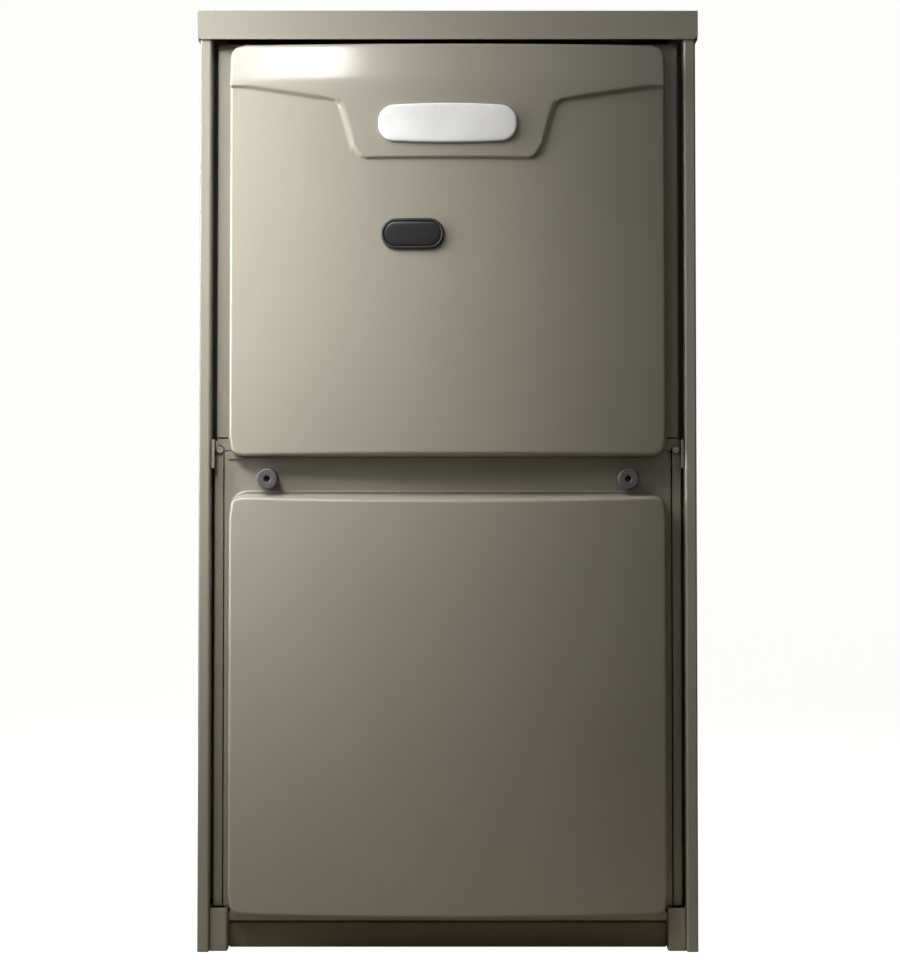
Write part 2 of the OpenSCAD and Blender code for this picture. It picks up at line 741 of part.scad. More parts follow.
module hot_header() color([0.55, 0.56, 0.58]) difference() {
    union() {
        block(box_x0, box_x1, header_depth, inner_back - 14, coil_z - fin_h / 2 + 2, last_pass_z + tube_r + 6);
        block(box_x0 - 6, box_x1 + 6, header_depth, header_depth + 2,
            coil_z - fin_h / 2 - 4, last_pass_z + tube_r + 12);
    }
    block(box_x0 + 2, box_x1 - 2, header_depth + 4, inner_back - 16,
        coil_z - fin_h / 2 + 4, last_pass_z + tube_r + 4);
}

module coil_places()
    for (i = [0 : coil_cols - 1], j = [0 : coil_rows - 1])
        translate([-burner_shift + (i - (coil_cols - 1) / 2) * (box_x1 - box_x0 - 48) / coil_cols,
            coil_z + (j - (coil_rows - 1) / 2) * fin_h * 0.31]) children();

// Finned coil: stainless tubes pressed into aluminium fins
module secondary_coil() {
    first = coil_end + 14;
    step = (header_depth - coil_end - 28) / (fin_n - 1);
    color([0.75, 0.76, 0.78]) union() {
        plate_y(coil_end, header_depth - gap - coil_end) coil_places() circle(r = coil_r, $fn = 24);
        for (i = [0 : fin_n - 1])
            plate_y(first + i * step - fin_t / 2, fin_t)
                translate([box_x0 + 4, coil_z - fin_h / 2]) square([box_x1 - box_x0 - 8, fin_h]);
    }
}

module cold_end_header() color(black_plastic) {
    front = vest_d - header_d;
    difference() {
        block(cold_x0, cold_x1, front, vest_d - gap, deck_z + 12, cold_top);
        block(cold_x0 + 4, cold_x1 - 4, front + 4, vest_d, deck_z + 16, cold_top - 4);
        rod_y([inducer_x, front - 1, inducer_z], 26, 6);
    }
    for (i = [1 : 5])
        block(cold_x0 + i * 28 - 1.5, cold_x0 + i * 28 + 1.5, front - 2.5, front + 1, deck_z + 16, cold_top - 4);
    rod_z([port_x, front + 12, cold_top - 1], 3.4, 9);
}

// ---- Inducer and vents ----

// Points of a scroll round the origin, from the cut-off angle on
function scroll_points(r0, growth, from) =
    [for (a = [from : 15 : 360]) (r0 + growth * a / 360) * [cos(a), sin(a)]];

module inducer_outline(inset = 0) offset(delta = -inset) polygon(concat(
    scroll_points(inducer_scroll_r, inducer_growth, 60),
    [[inducer_scroll_r + inducer_growth, inducer_rise],
     [inducer_scroll_r + inducer_growth - 2 * (vent_r + inducer_wall) + 4, inducer_rise]]
));

module inducer_housing() {
    outlet_z = inducer_z + inducer_rise;
    color(black_plastic) difference() {
        union() {
            translate([inducer_x, 0, inducer_z]) plate_y(inducer_front, inducer_d) inducer_outline();
            rod_z([vent_x, vent_depth, outlet_z - 8], vent_r + 4, 26);
        }
        translate([inducer_x, 0, inducer_z]) plate_y(inducer_front + inducer_wall, inducer_d - 2 * inducer_wall)
            inducer_outline(inducer_wall);
        rod_z([vent_x, vent_depth, outlet_z - 14], vent_r - vent_wall, 60);
        rod_z([vent_x, vent_depth, outlet_z + 4], vent_r + 0.2, 60);
        rod_y([inducer_x, inducer_front - 1, inducer_z], inducer_shaft_r + 4, 8);
        rod_y([inducer_x, inducer_front + inducer_d - 6, inducer_z], 26, 8);
    }
}

module inducer_wheel() {
    disc = inducer_front + 10;
    centre = [inducer_x, 0, inducer_z];
    color(galvanised) difference() {
        union() {
            translate(centre) plate_y(disc, 2) circle(r = inducer_wheel_r);
            translate(centre) plate_y(disc - 3, 18) circle(r = 10);
            translate(centre) plate_y(disc + 2, 30) for (i = [0 : 11]) rotate(i * 30)
                translate([16, -0.8]) square([inducer_wheel_r - 16, 1.6]);
        }
        translate(centre) plate_y(disc - 5, 25) circle(r = inducer_shaft_r);
    }
    translate(centre) color(steel) plate_y(fan_front - 1, disc + 11 - fan_front) circle(r = inducer_shaft_r);
}

module inducer_motor() {
    back = inducer_motor_back;
    len = inducer_motor_len;
    centre = [inducer_x, 0, inducer_z];
    color([0.2, 0.2, 0.22]) difference() {
        union() {
            translate(centre) plate_y(back - len, len) circle(r = inducer_motor_r);
            translate(centre) plate_y(back - len - 5, len + 7) circle(r = 14);
            for (a = [90, 210, 330]) translate(centre) rotate([0, a, 0])
                rod_y([inducer_motor_r - 4, back - 4, 0], 5, 10 - gap);
        }
        translate(centre) plate_y(back - len - 20, len + 30) circle(r = inducer_shaft_r + run);
        for (a = [0 : 30 : 330]) translate(centre) rotate([0, a, 0])
            block(inducer_motor_r - 8, inducer_motor_r - 5, back - len - 1, back - len + 12, -5, 5);
    }
}

module inducer_cooling_fan() {
    centre = [inducer_x, 0, inducer_z];
    fan = fan_front;
    color(black_plastic) difference() {
        union() {
            translate(centre) plate_y(fan, 2) circle(r = 16);
            translate(centre) plate_y(fan, 5) circle(r = 9);
            translate(centre) plate_y(fan, 4.5) for (i = [0 : 7]) rotate(i * 45)
                translate([8, -0.8]) square([28, 1.6]);
        }
        translate(centre) plate_y(fan - 1, 8) circle(r = inducer_shaft_r);
    }
}

module pressure_switch() color(black_plastic) {
    front = vest_d - header_d - 2.5 - gap;
    rod_y([-pressure_x, front - 14, inducer_z], pressure_r, 14);
    rod_y([-pressure_x, front - 20, inducer_z], pressure_r / 2, 8);
    rod_z([-pressure_x, front - 8, inducer_z + pressure_r - 2], 3.4, 9);
}

module pressure_hose() {
    front = vest_d - header_d;
    color([0.8, 0.8, 0.78]) lead([
        [-pressure_x, front - 10.8, inducer_z + pressure_r + 7 + gap],
        [-pressure_x, front - 10.8, inducer_z + 76],
        [port_x, front + 12, inducer_z + 76], [port_x, front + 12, cold_top + 8 + gap]
    ], 4);
}

module pipe(z0, z1) translate([0, 0, z0]) linear_extrude(z1 - z0) difference() {
    circle(r = vent_r);
    circle(r = vent_r - vent_wall);
}

// Exhaust pipe from the inducer and intake pipe to the burner box, both ending in the collars
module vent_pipes() color([0.9, 0.9, 0.88]) {
    at(vent_x, vent_depth, 0) pipe(inducer_z + inducer_rise + 4 + gap, cab_h - 26);
    at(-intake_x, vent_depth, 0) pipe(burner_z + box_h / 2 + gap, cab_h - 26);
}

// Socket that the vent pipe from outside goes into, down to its inner ledge
module vent_collars() color([0.9, 0.9, 0.88]) for (x = [vent_x, -intake_x]) at(x, vent_depth, 0) difference() {
    union() {
        translate([0, 0, cab_h - 38]) cylinder(r = vent_r + 4.5, h = 38 + collar_h);
        translate([0, 0, cab_h + gap]) cylinder(r = vent_r + 11, h = 3);
    }
    translate([0, 0, cab_h - 22]) cylinder(r = vent_r + 0.35, h = 60);
    translate([0, 0, cab_h - 39]) cylinder(r = vent_r - vent_wall, h = 60);
    translate([0, 0, cab_h - 39]) cylinder(r = vent_r + 0.2, h = 14);
}

module condensate_trap() {
    back = vest_d - header_d - 2.5 - gap;
    x0 = -trap_x - trap_w / 2;
    color([0.35, 0.36, 0.38]) difference() {
        union() {
            block(x0, x0 + trap_w, back - 46, back, deck_z + 3, deck_z + 3 + trap_h);
            for (i = [0 : 3]) {
                rib_x = x0 + 4 + i * (trap_w - 13) / 3;
                block(rib_x, rib_x + 3, back - 49, back - 45, deck_z + 6, deck_z + trap_h - 3);
            }
            rod_x([-inner_x + 7, vent_depth, drain_z], 13.5, inner_x + x0 + 3);
        }
        rod_x([-inner_x + 6, vent_depth, drain_z], 10.75, 21);
    }
}

module limit_switch() color(galvanised) {
    rod_y([limit_x, vest_d - gap - 9, limit_z], limit_r, 9);
    block(limit_x - 15, limit_x + 15, vest_d - gap - 1.2, vest_d - gap, limit_z - 10, limit_z + 10);
}

// ---- Blower ----

function outlet_depth() = blower_depth + scroll_r + scroll_growth;
function scroll_top() = deck_under - gap - blower_z;

module blower_outline(inset = 0, extra = 0) offset(delta = -inset) polygon(concat(
    scroll_points(scroll_r, scroll_growth, 75),
    [[scroll_r + scroll_growth, scroll_top() + extra],
     [scroll_r + scroll_growth - outlet_d, scroll_top() + extra]]
));

module blower_housing() {
    wall = 1.2;
    inlet_r0 = wheel_r - blade_depth - 1;
    color(galvanised) {
        translate([0, 0, blower_z]) bar_x(-scroll_half + wall, scroll_half - wall) translate([blower_depth, 0])
            difference() {
                blower_outline();
                blower_outline(wall, 30);
            }
        for (x = [-scroll_half, scroll_half - wall])
            translate([0, 0, blower_z]) bar_x(x, x + wall) translate([blower_depth, 0]) difference() {
                blower_outline();
                circle(r = inlet_r0);
            }
        both_sides() at(scroll_half - 11, blower_depth, blower_z) rotate([0, 90, 0]) rotate_extrude()
            translate([inlet_r0, 0]) difference() {
                translate([-6, 0]) square([6.01, 11 - wall]);
                translate([-8, 0]) square([6.8, 11 - 2 * wall]);
            }
    }
}

// One forward-curved blade: an arc of sheet leaning into the turn
module blade() {
    steps = 4;
    r0 = wheel_r - blade_depth;
    function lean(s) = 14 * s * s - 4 * s;
    centre = [
        for (i = [0 : steps]) (r0 + (blade_depth - 1) * i / steps) * [cos(lean(i / steps)), sin(lean(i / steps))]
    ];
    polygon(concat(
        [for (i = [0 : steps]) centre[i] + [0, blade_t / 2]],
        [for (i = [steps : -1 : 0]) centre[i] - [0, blade_t / 2]]
    ));
}

module on_wheel(x0, x1) translate([0, 0, blower_z]) bar_x(x0, x1) translate([blower_depth, 0]) children();

module blower_wheel() color([0.6, 0.61, 0.62]) {
    ring = 2;
    on_wheel(-1, 1) difference() {
        circle(r = wheel_r);
        circle(r = shaft_r);
    }
    both_sides() on_wheel(1, 15) difference() {
        circle(r = 16);
        circle(r = shaft_r);
    }
    both_sides() on_wheel(1, wheel_half - ring) for (i = [0 : blade_n - 1]) rotate(i * 360 / blade_n) blade();
    both_sides() on_wheel(wheel_half - ring, wheel_half) difference() {
        circle(r = wheel_r);
        circle(r = wheel_r - blade_depth);
    }
}

module blower_shaft() color(steel) on_wheel(-16, 62) circle(r = shaft_r);

module blower_motor() {
    x0 = 20;
    color([0.25, 0.25, 0.27]) difference() {
        union() {
            on_wheel(x0 + 4, x0 + motor_len - 4) circle(r = motor_r);
            on_wheel(x0, x0 + motor_len) circle(r = motor_r - 6);
            on_wheel(x0 - 3, x0 + 2) circle(r = 18);
        }
        on_wheel(x0 - 5, 64) circle(r = shaft_r + run);
        for (a = [0 : 30 : 330])
            translate([0, y_face + blower_depth, blower_z]) rotate([a, 0, 0])
                translate([x0 + motor_len - 10, -5, motor_r - 24]) cube([20, 10, 12]);
    }
}

module motor_mount() color(galvanised) {
    on_wheel(scroll_half + gap, scroll_half + 20) difference() {
        circle(r = motor_r + gap + 2.5);
        circle(r = motor_r + gap);
    }
    on_wheel(scroll_half + gap, scroll_half + gap + 3) for (a = [90, 210, 330]) rotate(a)
        translate([motor_r + 2, -9]) square([60, 18]);
}

// ---- Controls ----

function harness_x() = -inner_x + 26;
function harness_depth() = vest_d - 30;

module control_box() {
    z1 = deck_under - gap;
    depth = control_depth;
    color(galvanised) difference() {
        block(-control_w / 2, control_w / 2, depth, depth + control_d, z1 - control_h, z1);
        block(1 - control_w / 2, control_w / 2 - 1, depth - 1, depth + control_d - 1,
            z1 - control_h + 1, z1 - 1);
        rod_x([-control_w / 2 - 2, depth + 30, z1 - 60], harness_r + 1, 5);
    }
}

module control_board() {
    back = control_depth + control_d - 8;
    x0 = 12 - control_w / 2;
    z0 = deck_under - control_h + 22;
    color([0.1, 0.35, 0.2]) block(x0, x0 + board_w, back - 1.6, back, z0, z0 + board_h);
    color([0.15, 0.15, 0.15]) {
        for (x = [x0 + 4, x0 + board_w - 4], z = [z0 + 6, z0 + board_h - 6]) rod_y([x, back - 1, z], 3, 8 - gap);
        for (i = [0 : 3]) block(x0 + 8 + i * 26, x0 + 28 + i * 26, back - 18, back - 1, z0 + 60, z0 + 84);
        for (i = [0 : 6]) block(x0 + 10 + i * 20, x0 + 20 + i * 20, back - 10, back - 1, z0 + 8, z0 + 20);
        block(x0 + 128, x0 + 160, back - 14, back - 1, z0 + 34, z0 + 52);
    }
}

module transformer() {
    x1 = control_w / 2 - 8;
    x0 = x1 - transformer_w;
    z0 = deck_under - control_h + 1;
    depth = control_depth + 10;
    color([0.35, 0.35, 0.36]) block(x0, x1, depth, depth + 44, z0, z0 + transformer_h);
    color([0.75, 0.6, 0.2]) block(x0 + 6, x1 - 6, depth - 7, depth + 1, z0 + 8, z0 + transformer_h - 8);
}

module junction_box() {
    x0 = -inner_x + gap;
    d0 = junction_depth - junction_d / 2;
    z0 = junction_z - junction_h / 2;
    color(galvanised) difference() {
        block(x0, x0 + 50, d0, d0 + junction_d, z0, z0 + junction_h);
        block(x0 + 1, x0 + 49, d0 + 1, d0 + junction_d - 1, z0 + 1, z0 + junction_h - 1);
        rod_x([x0 - 1, junction_depth, junction_z], knockout_r, 4);
    }
}

module door_switch() {
    z = knob_z + 1;
    d0 = deck_front + cap_t + gap;
    color(black_plastic) difference() {
        union() {
            block(switch_x - 12, switch_x + 12, d0, d0 + 26, z - 10, z + 10);
            block(switch_x - 16, switch_x + 16, d0, d0 + 2, z - 10, z + 10);
        }
        rod_y([switch_x, d0 - 1, z], plunger_r + run, 16 + plunger_travel);
    }
}

module door_switch_plunger() color([0.85, 0.85, 0.83])
    rod_y([switch_x, door_recess + sheet + gap, knob_z + 1], plunger_r, 12);

module wire_harness() color(black_plastic) lead([
    [1 - control_w / 2, control_depth + 30, deck_under - gap - 60],
    [harness_x() + 35, control_depth + 30, deck_z - 50],
    [harness_x(), harness_depth(), deck_z - 34], [harness_x(), harness_depth(), valve_z - 30],
    [-valve_x - 4, harness_depth() - 22, valve_z - 8],
    [-valve_x - 4, manifold_depth + valve_d / 2 + gap + 1, valve_z - 8]
], harness_r);

// Rubber bushing in a sheet hole: a groove between two rims
module bushing(x, depth, z, hole_r, bore_r) difference() {
    union() {
        rod_x([x - 3, depth, z], hole_r + 2.5, 3 - gap);
        rod_x([x - 1, depth, z], hole_r - gap, sheet + 2);
        rod_x([x + sheet + gap, depth, z], hole_r + 2.5, cap_lap - 2 * gap);
    }
    rod_x([x - 4, depth, z], bore_r, 10);
}

module grommets_and_plugs() color(black_plastic) {
    mirror([1, 0, 0]) {
        bushing(inner_x, hole_gas.x, hole_gas.y, side_hole_r + 6, side_hole_r + 3);
        bushing(inner_x, vent_depth, drain_z, side_hole_r + 2, side_hole_r);
    }
    rod_x([inner_x - 3, hole_gas.x, hole_gas.y], side_hole_r + 6 - gap, 3 + sheet + 1);
    rod_x([inner_x - 3, vent_depth, drain_z], side_hole_r + 2 - gap, 3 + sheet + 1);
    rod_x([inner_x - 3, junction_depth, junction_z], knockout_r - gap, 3 + sheet + 1);
    difference() {
        rod_z([harness_x(), harness_depth(), deck_under - 2], harness_r + 3 - gap, cap_t + 4);
        rod_z([harness_x(), harness_depth(), deck_under - 3], harness_r + gap, cap_t + 8);
    }
}

// ---- Pressed doors ----

// A door is [half width, bottom, top of the flange, bottom, top of the raised panel, folded edge, has a brow]
upper_door = [
    upper_half_w, door_split + 0.2, skirt_z - 0.5, upper_foot_z, skirt_z - upper_top_margin, upper_return, true
];
lower_door = [
    lower_half_w, lower_foot_z, door_split + door_horn, panel_z0, door_split - lower_top_margin, lower_return, false
];

function mix(a, b, f) = a + (b - a) * f;
function smooth(f) = let (g = min(max(f, 0), 1)) g * g * (3 - 2 * g);

// Rise of the bow above the flange, the same circle on both doors
function bow(x) = panel_rise + bow_rise - (bow_r - sqrt(bow_r * bow_r - x * x));

// Lower edge of the winged brow: a flat under the badge, a soft rise and two climbing wings
function brow_edge(x) = brow_z + lookup(abs(x), [
    [brow_drop_half_w, 0], [brow_drop_half_w + 7.6, 5.5], [brow_drop_half_w + 11.6, 9.5],
    [brow_drop_half_w + 18.2, wing_z * 0.63], [brow_drop_half_w + 22.2, wing_z * 0.9],
    [brow_drop_half_w + 32.6, wing_z], [panel_half_w - 16, wing_z + wing_climb]
]);
function brow_width(x) = brow_soft * sqrt(1 + pow(brow_edge(x + 0.5) - brow_edge(x - 0.5), 2));
function brow(door, x, z) = door[6]
    ? brow_rise * smooth((z - brow_edge(x)) / brow_width(x) + 0.5)
        * (1 - 0.85 * smooth((z - brow_edge(x)) / (door[4] - brow_edge(x))))
    : 0;
function panel_height(door, x, z) = bow(min(abs(x), panel_half_w)) + brow(door, x, z);

// Inset of each ring from the foot of the pressed wall: foot, wall top, middle and end of the roll
function ring_inset(m, h, k, draft = press_draft) = let (wall = tan(draft) * (h - press_roll))
    m == 2 ? k
    : m == 3 ? k + wall
    : m == 4 ? k + wall + 0.293 * (press_roll - k)
    : wall + press_roll;
function ring_height(m, h, k, fold) =
    m == 0 ? -fold
    : m < 3 ? -k
    : m == 3 ? h - press_roll
    : m == 4 ? h - k - 0.293 * (press_roll - k)
    : h - k;

// Column places from the left edge to the middle, then mirrored
function ring_x(door, k) = [
    for (m = [0 : 5]) m < 2 ? door[0] - k : panel_half_w - ring_inset(m, panel_rise, k)
];
function inner_x_list(door) = door[6]
    ? [panel_half_w - 16, 150, 125, brow_drop_half_w + 32.6, brow_drop_half_w + 27, brow_drop_half_w + 22.2,
       brow_drop_half_w + 20, brow_drop_half_w + 16, brow_drop_half_w + 11.6, brow_drop_half_w + 7.6,
       brow_drop_half_w, 45, 20]
    : [panel_half_w - 20, 140, 100, 60, 25];
function columns(door, k) = let (half = concat(ring_x(door, k), inner_x_list(door)))
    concat([for (x = half) -x], [0], [for (i = [len(half) - 1 : -1 : 0]) half[i]]);

// Row heights at one column, from the bottom to the top
function rows(door, x, k) =
    let (low = [for (m = [0 : 5]) m < 2 ? door[1] + k
            : door[3] + ring_inset(m, panel_height(door, x, door[3]), k)],
         high = [for (m = [5 : -1 : 0]) m < 2 ? door[2] - k
            : door[4] - ring_inset(m, panel_height(door, x, door[4]), k, top_draft)],
         edge = brow_edge(x),
         w = brow_width(x))
    concat(low, door[6]
        ? [mix(low[5], edge, 0.25), mix(low[5], edge, 0.5), mix(low[5], edge, 0.75),
           edge - w * 0.75, edge - w * 0.25, edge, edge + w * 0.25, edge + w * 0.75,
           mix(edge + w, high[0], 0.33), mix(edge + w, high[0], 0.66)]
        : [for (f = [0.08, 0.25, 0.5, 0.75, 0.92]) mix(low[5], high[0], f)], high);

// Moves a point of a ring's square corner onto the ring's arc, as distances from the corner's sides
function corner(dx, dz, r) = r <= 0 || max(dx, dz) >= r ? [dx, dz]
    : let (turn = 45 + 45 * (dx - dz) / r) [r - r * cos(turn), r - r * sin(turn)];

function door_point(door, xs, i, j, k) =
    let (nx = len(xs), x = xs[i], zs = rows(door, x, k), nz = len(zs), z = zs[j],
         m = min(i, nx - 1 - i, j, nz - 1 - j, 6),
         inset = m < 2 || m > 5 ? 0 : ring_inset(m, panel_rise, k),
         r = m == 6 ? 0 : m < 2 ? 3 : max(press_corner - inset, 4),
         from_side = m == 6 ? 99 : min(abs(x - xs[m]), abs(x - xs[nx - 1 - m])),
         from_end = m == 6 ? 99 : min(abs(z - zs[m]), abs(z - zs[nz - 1 - m])),
         c = corner(from_side, from_end, r),
         px = x + (x < 0 ? 1 : -1) * (c.x - from_side),
         pz = z + (z < (zs[0] + zs[nz - 1]) / 2 ? 1 : -1) * (c.y - from_end),
         h = ring_height(m, panel_height(door, px, pz), k, door[5]))
    [px, y_face + door_recess - h, pz];

module pressed_door(door) {
    skins = [for (k = [0, sheet]) let (xs = columns(door, k))
        [for (j = [0 : len(rows(door, 0, 0)) - 1]) for (i = [0 : len(xs) - 1]) door_point(door, xs, i, j, k)]];
    nx = len(columns(door, 0));
    nz = len(rows(door, 0, 0));
    inner = nx * nz;
    quads = concat(
        [for (j = [0 : nz - 2], i = [0 : nx - 2])
            let (a = j * nx + i) [a, a + nx, a + nx + 1, a + 1]],
        [for (j = [0 : nz - 2], i = [0 : nx - 2])
            let (a = inner + j * nx + i) [a, a + 1, a + nx + 1, a + nx]],
        [for (i = [0 : nx - 2]) [i, i + 1, inner + i + 1, inner + i]],
        [for (i = [0 : nx - 2]) let (a = (nz - 1) * nx + i) [a + 1, a, inner + a, inner + a + 1]],
        [for (j = [0 : nz - 2]) let (a = j * nx) [a + nx, a, inner + a, inner + a + nx]],
        [for (j = [0 : nz - 2]) let (a = j * nx + nx - 1) [a, a + nx, inner + a + nx, inner + a]]
    );
    polyhedron(concat(skins[0], skins[1]), [for (q = quads) each [[q[0], q[1], q[2]], [q[0], q[2], q[3]]]]);
}

// The flange ends in an ear beside the joint, notched round the corner screw
module upper_door_panel() color(paint) difference() {
    pressed_door(upper_door);
    both_sides() plate_y(-2, 40) {
        translate([panel_half_w + 0.2, door_split - 1]) square([30, door_horn + 1.6]);
        translate([upper_half_w - sheet - 1, door_split]) square([30, ear_z - door_split]);
        translate([corner_screw_x, door_split + 7]) circle(corner_screw_r + 1.4);
    }
    at_window() oval(window_w - 14, window_h - 12);
}

module lower_door_panel() color(paint) difference() {
    pressed_door(lower_door);
    both_sides() block(panel_half_w + 0.3, 230, -2, 40, lower_foot_z - 5, bracket_h + 0.5);
    block(-panel_half_w - 0.3, panel_half_w + 0.3, -2, 40, door_split - 0.8, door_split + door_horn + 1);
    both_sides() rod_y([knob_x, door_recess - 2, knob_z], stud_r + run, 6);
}

module bowed_pad(x_half, z0, z1, t) {
    function face(x) = door_recess + sheet + gap * 2 - bow(x);
    steps = 12;
    post_z(z0, z1) polygon(concat(
        [for (i = [-steps : steps]) let (x = x_half * i / steps) [x, face(x)]],
        [for (i = [steps : -1 : -steps]) let (x = x_half * i / steps) [x, face(x) + t]]
    ));
}

module upper_door_insulation() color([0.75, 0.75, 0.7]) difference() {
    bowed_pad(panel_half_w - 20, upper_foot_z + 16, brow_z - 20, 9);
    block(-window_x - window_w / 2, -window_x + window_w / 2, door_front, 0,
        door_split + window_z - window_h, door_split + window_z + window_h);
}

module lower_door_insulation() color([0.75, 0.75, 0.7])
    bowed_pad(panel_half_w - 20, panel_z0 + 16, door_split - lower_top_margin - 22, 7);

// The layer between two heights above the bowed front of the doors
module on_bow(low, high) post_z(door_split, cab_h) translate([0, door_front + bow_r]) difference() {
    circle(r = bow_r + high, $fn = 720);
    circle(r = bow_r + low, $fn = 720);
}

// Blank plate: a lozenge with bowed long edges and rounded ends
module badge_outline() {
    bow_h = (badge_h - badge_end_h) / 2;
    half = badge_w / 2 - 13;
    arc_r = (half * half + bow_h * bow_h) / (2 * bow_h);
    offset(r = 9) offset(delta = -9) intersection() {
        square([badge_w, badge_h], center = true);
        translate([0, badge_h / 2 - arc_r]) circle(r = arc_r, $fn = 200);
        translate([0, arc_r - badge_h / 2]) circle(r = arc_r, $fn = 200);
    }
}

module badge_plate() color("white") intersection() {
    on_bow(brow_rise + 0.1, brow_rise + badge_t);
    translate([0, 0, badge_mid_z]) plate_y(door_front - 20, 30) badge_outline();
}

module oval(w, h) {
    for (s = [-1, 1]) translate([s * (w - h) / 2, 0]) circle(r = h / 2);
    square([w - h, h], center = true);
}

module at_window() translate([-window_x, 0, door_split + window_z]) plate_y(door_front - 10, 20) children();

module window_bezel() color(black_plastic) intersection() {
    on_bow(gap, window_proud);
    at_window() difference() {
        oval(window_w, window_h);
        oval(window_w - 7, window_h - 7);
    }
}

module window_lens() color([0.1, 0.1, 0.1]) intersection() {
    on_bow(gap, window_proud - 1.2);
    at_window() oval(window_w - 7.4, window_h - 7.4);
}

module knob(x) color([0.3, 0.29, 0.3]) difference() {
    union() {
        rod_y([x, door_recess - gap - knob_len, knob_z], knob_r - 0.8, 1);
        rod_y([x, door_recess - gap - knob_len + 0.8, knob_z], knob_r, knob_len - 0.8);
        rod_y([x, door_recess - gap - 1, knob_z], stud_r, 14);
    }
    rod_y([x, door_recess - gap - knob_len - 1, knob_z], knob_recess_r, 6);
    for (a = [0 : 30 : 330]) translate([x, 0, knob_z]) rotate([0, a, 0])
        rod_y([knob_r + 0.6, door_recess - knob_len + 2, 0], 1.3, knob_len);
}

module left_knob() knob(-knob_x);
module right_knob() knob(knob_x);

cabinet_left_side();
cabinet_right_side();
cabinet_back();
top_cap();
supply_duct_flange();
cabinet_screws();
base_rail();
base_pan();
corner_brackets();
door_frames();
retainer_clips();
vestibule_panel();
blower_deck();
insulation_liner();
burner_box();
burners();
burner_sight_glass();
gas_manifold();
gas_valve();
gas_valve_switch();
igniter();
flame_sensor();
rollout_switch();
rollout_reset_button();
heat_exchanger_tubes();
hot_header();
secondary_coil();
cold_end_header();
inducer_housing();
inducer_motor();
inducer_wheel();
inducer_cooling_fan();
pressure_switch();
pressure_hose();
vent_pipes();
vent_collars();
condensate_trap();
limit_switch();
blower_housing();
blower_wheel();
blower_shaft();
blower_motor();
motor_mount();
control_box();
control_board();
transformer();
junction_box();
door_switch();
door_switch_plunger();
wire_harness();
grommets_and_plugs();
upper_door_panel();
upper_door_insulation();
badge_plate();
window_bezel();
window_lens();
lower_door_panel();
lower_door_insulation();
left_knob();
right_knob();
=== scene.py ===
import math

import bpy
import numpy as np
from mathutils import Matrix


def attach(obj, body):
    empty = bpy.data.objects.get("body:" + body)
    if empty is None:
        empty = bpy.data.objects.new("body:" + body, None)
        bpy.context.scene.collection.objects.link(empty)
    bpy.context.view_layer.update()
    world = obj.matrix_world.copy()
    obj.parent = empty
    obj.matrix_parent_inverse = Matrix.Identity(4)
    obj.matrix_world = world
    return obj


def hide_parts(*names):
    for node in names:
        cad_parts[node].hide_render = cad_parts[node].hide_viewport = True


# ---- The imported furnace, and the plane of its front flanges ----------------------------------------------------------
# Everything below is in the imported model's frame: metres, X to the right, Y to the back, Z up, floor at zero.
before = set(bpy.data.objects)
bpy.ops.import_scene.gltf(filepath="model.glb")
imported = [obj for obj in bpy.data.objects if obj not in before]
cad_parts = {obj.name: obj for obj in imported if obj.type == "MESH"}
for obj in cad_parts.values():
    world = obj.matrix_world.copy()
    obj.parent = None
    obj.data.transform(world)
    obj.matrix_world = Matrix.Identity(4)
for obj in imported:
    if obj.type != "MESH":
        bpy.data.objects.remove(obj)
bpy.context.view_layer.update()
front_y = -0.34125      # plane of the cabinet's front flanges


# ---- Camera ----------------------------------------------------------------------------------------------------------
# The photograph is taken from 1.3 m in front of the flanges, a little below the cabinet's middle and tipped up 1.3
# degrees, with a lens of 1460 pixels for a frame of 900 by 960.
film, focal_pixels, frame_pixels = 36.0, 1460, 960
distance, height, tip = 1.3, 0.388, 1.3
camera = bpy.data.objects.new("camera", bpy.data.cameras.new("camera"))
camera.data.sensor_width = film
camera.data.lens = film * focal_pixels / frame_pixels
camera.location = (0.002, front_y - distance, height)
camera.rotation_euler = (math.radians(90 + tip), 0, 0)
bpy.context.collection.objects.link(camera)
bpy.context.scene.camera = camera


# ---- Studio: floor, backdrop and softboxes ---------------------------------------------------------------------------
# White paper that sweeps up behind the cabinet. Gridded softboxes and strips stand at the left, a weak box at the
# right, a broad one behind the camera and two behind the cabinet. The paper glows for the camera only, and under the
# cabinet that glow fades out, a painted shadow over the floor there.
def wire(tree, kind, inputs=None, **settings):
    """Adds a node of the kind to the tree. Each input is a value to set or an output socket to link."""
    node = tree.nodes.new("ShaderNode" + kind)
    for key, value in settings.items():
        setattr(node, key, value)
    for key, value in (inputs or {}).items():
        if isinstance(value, bpy.types.NodeSocket):
            tree.links.new(value, node.inputs[key])
        else:
            node.inputs[key].default_value = value
    return node


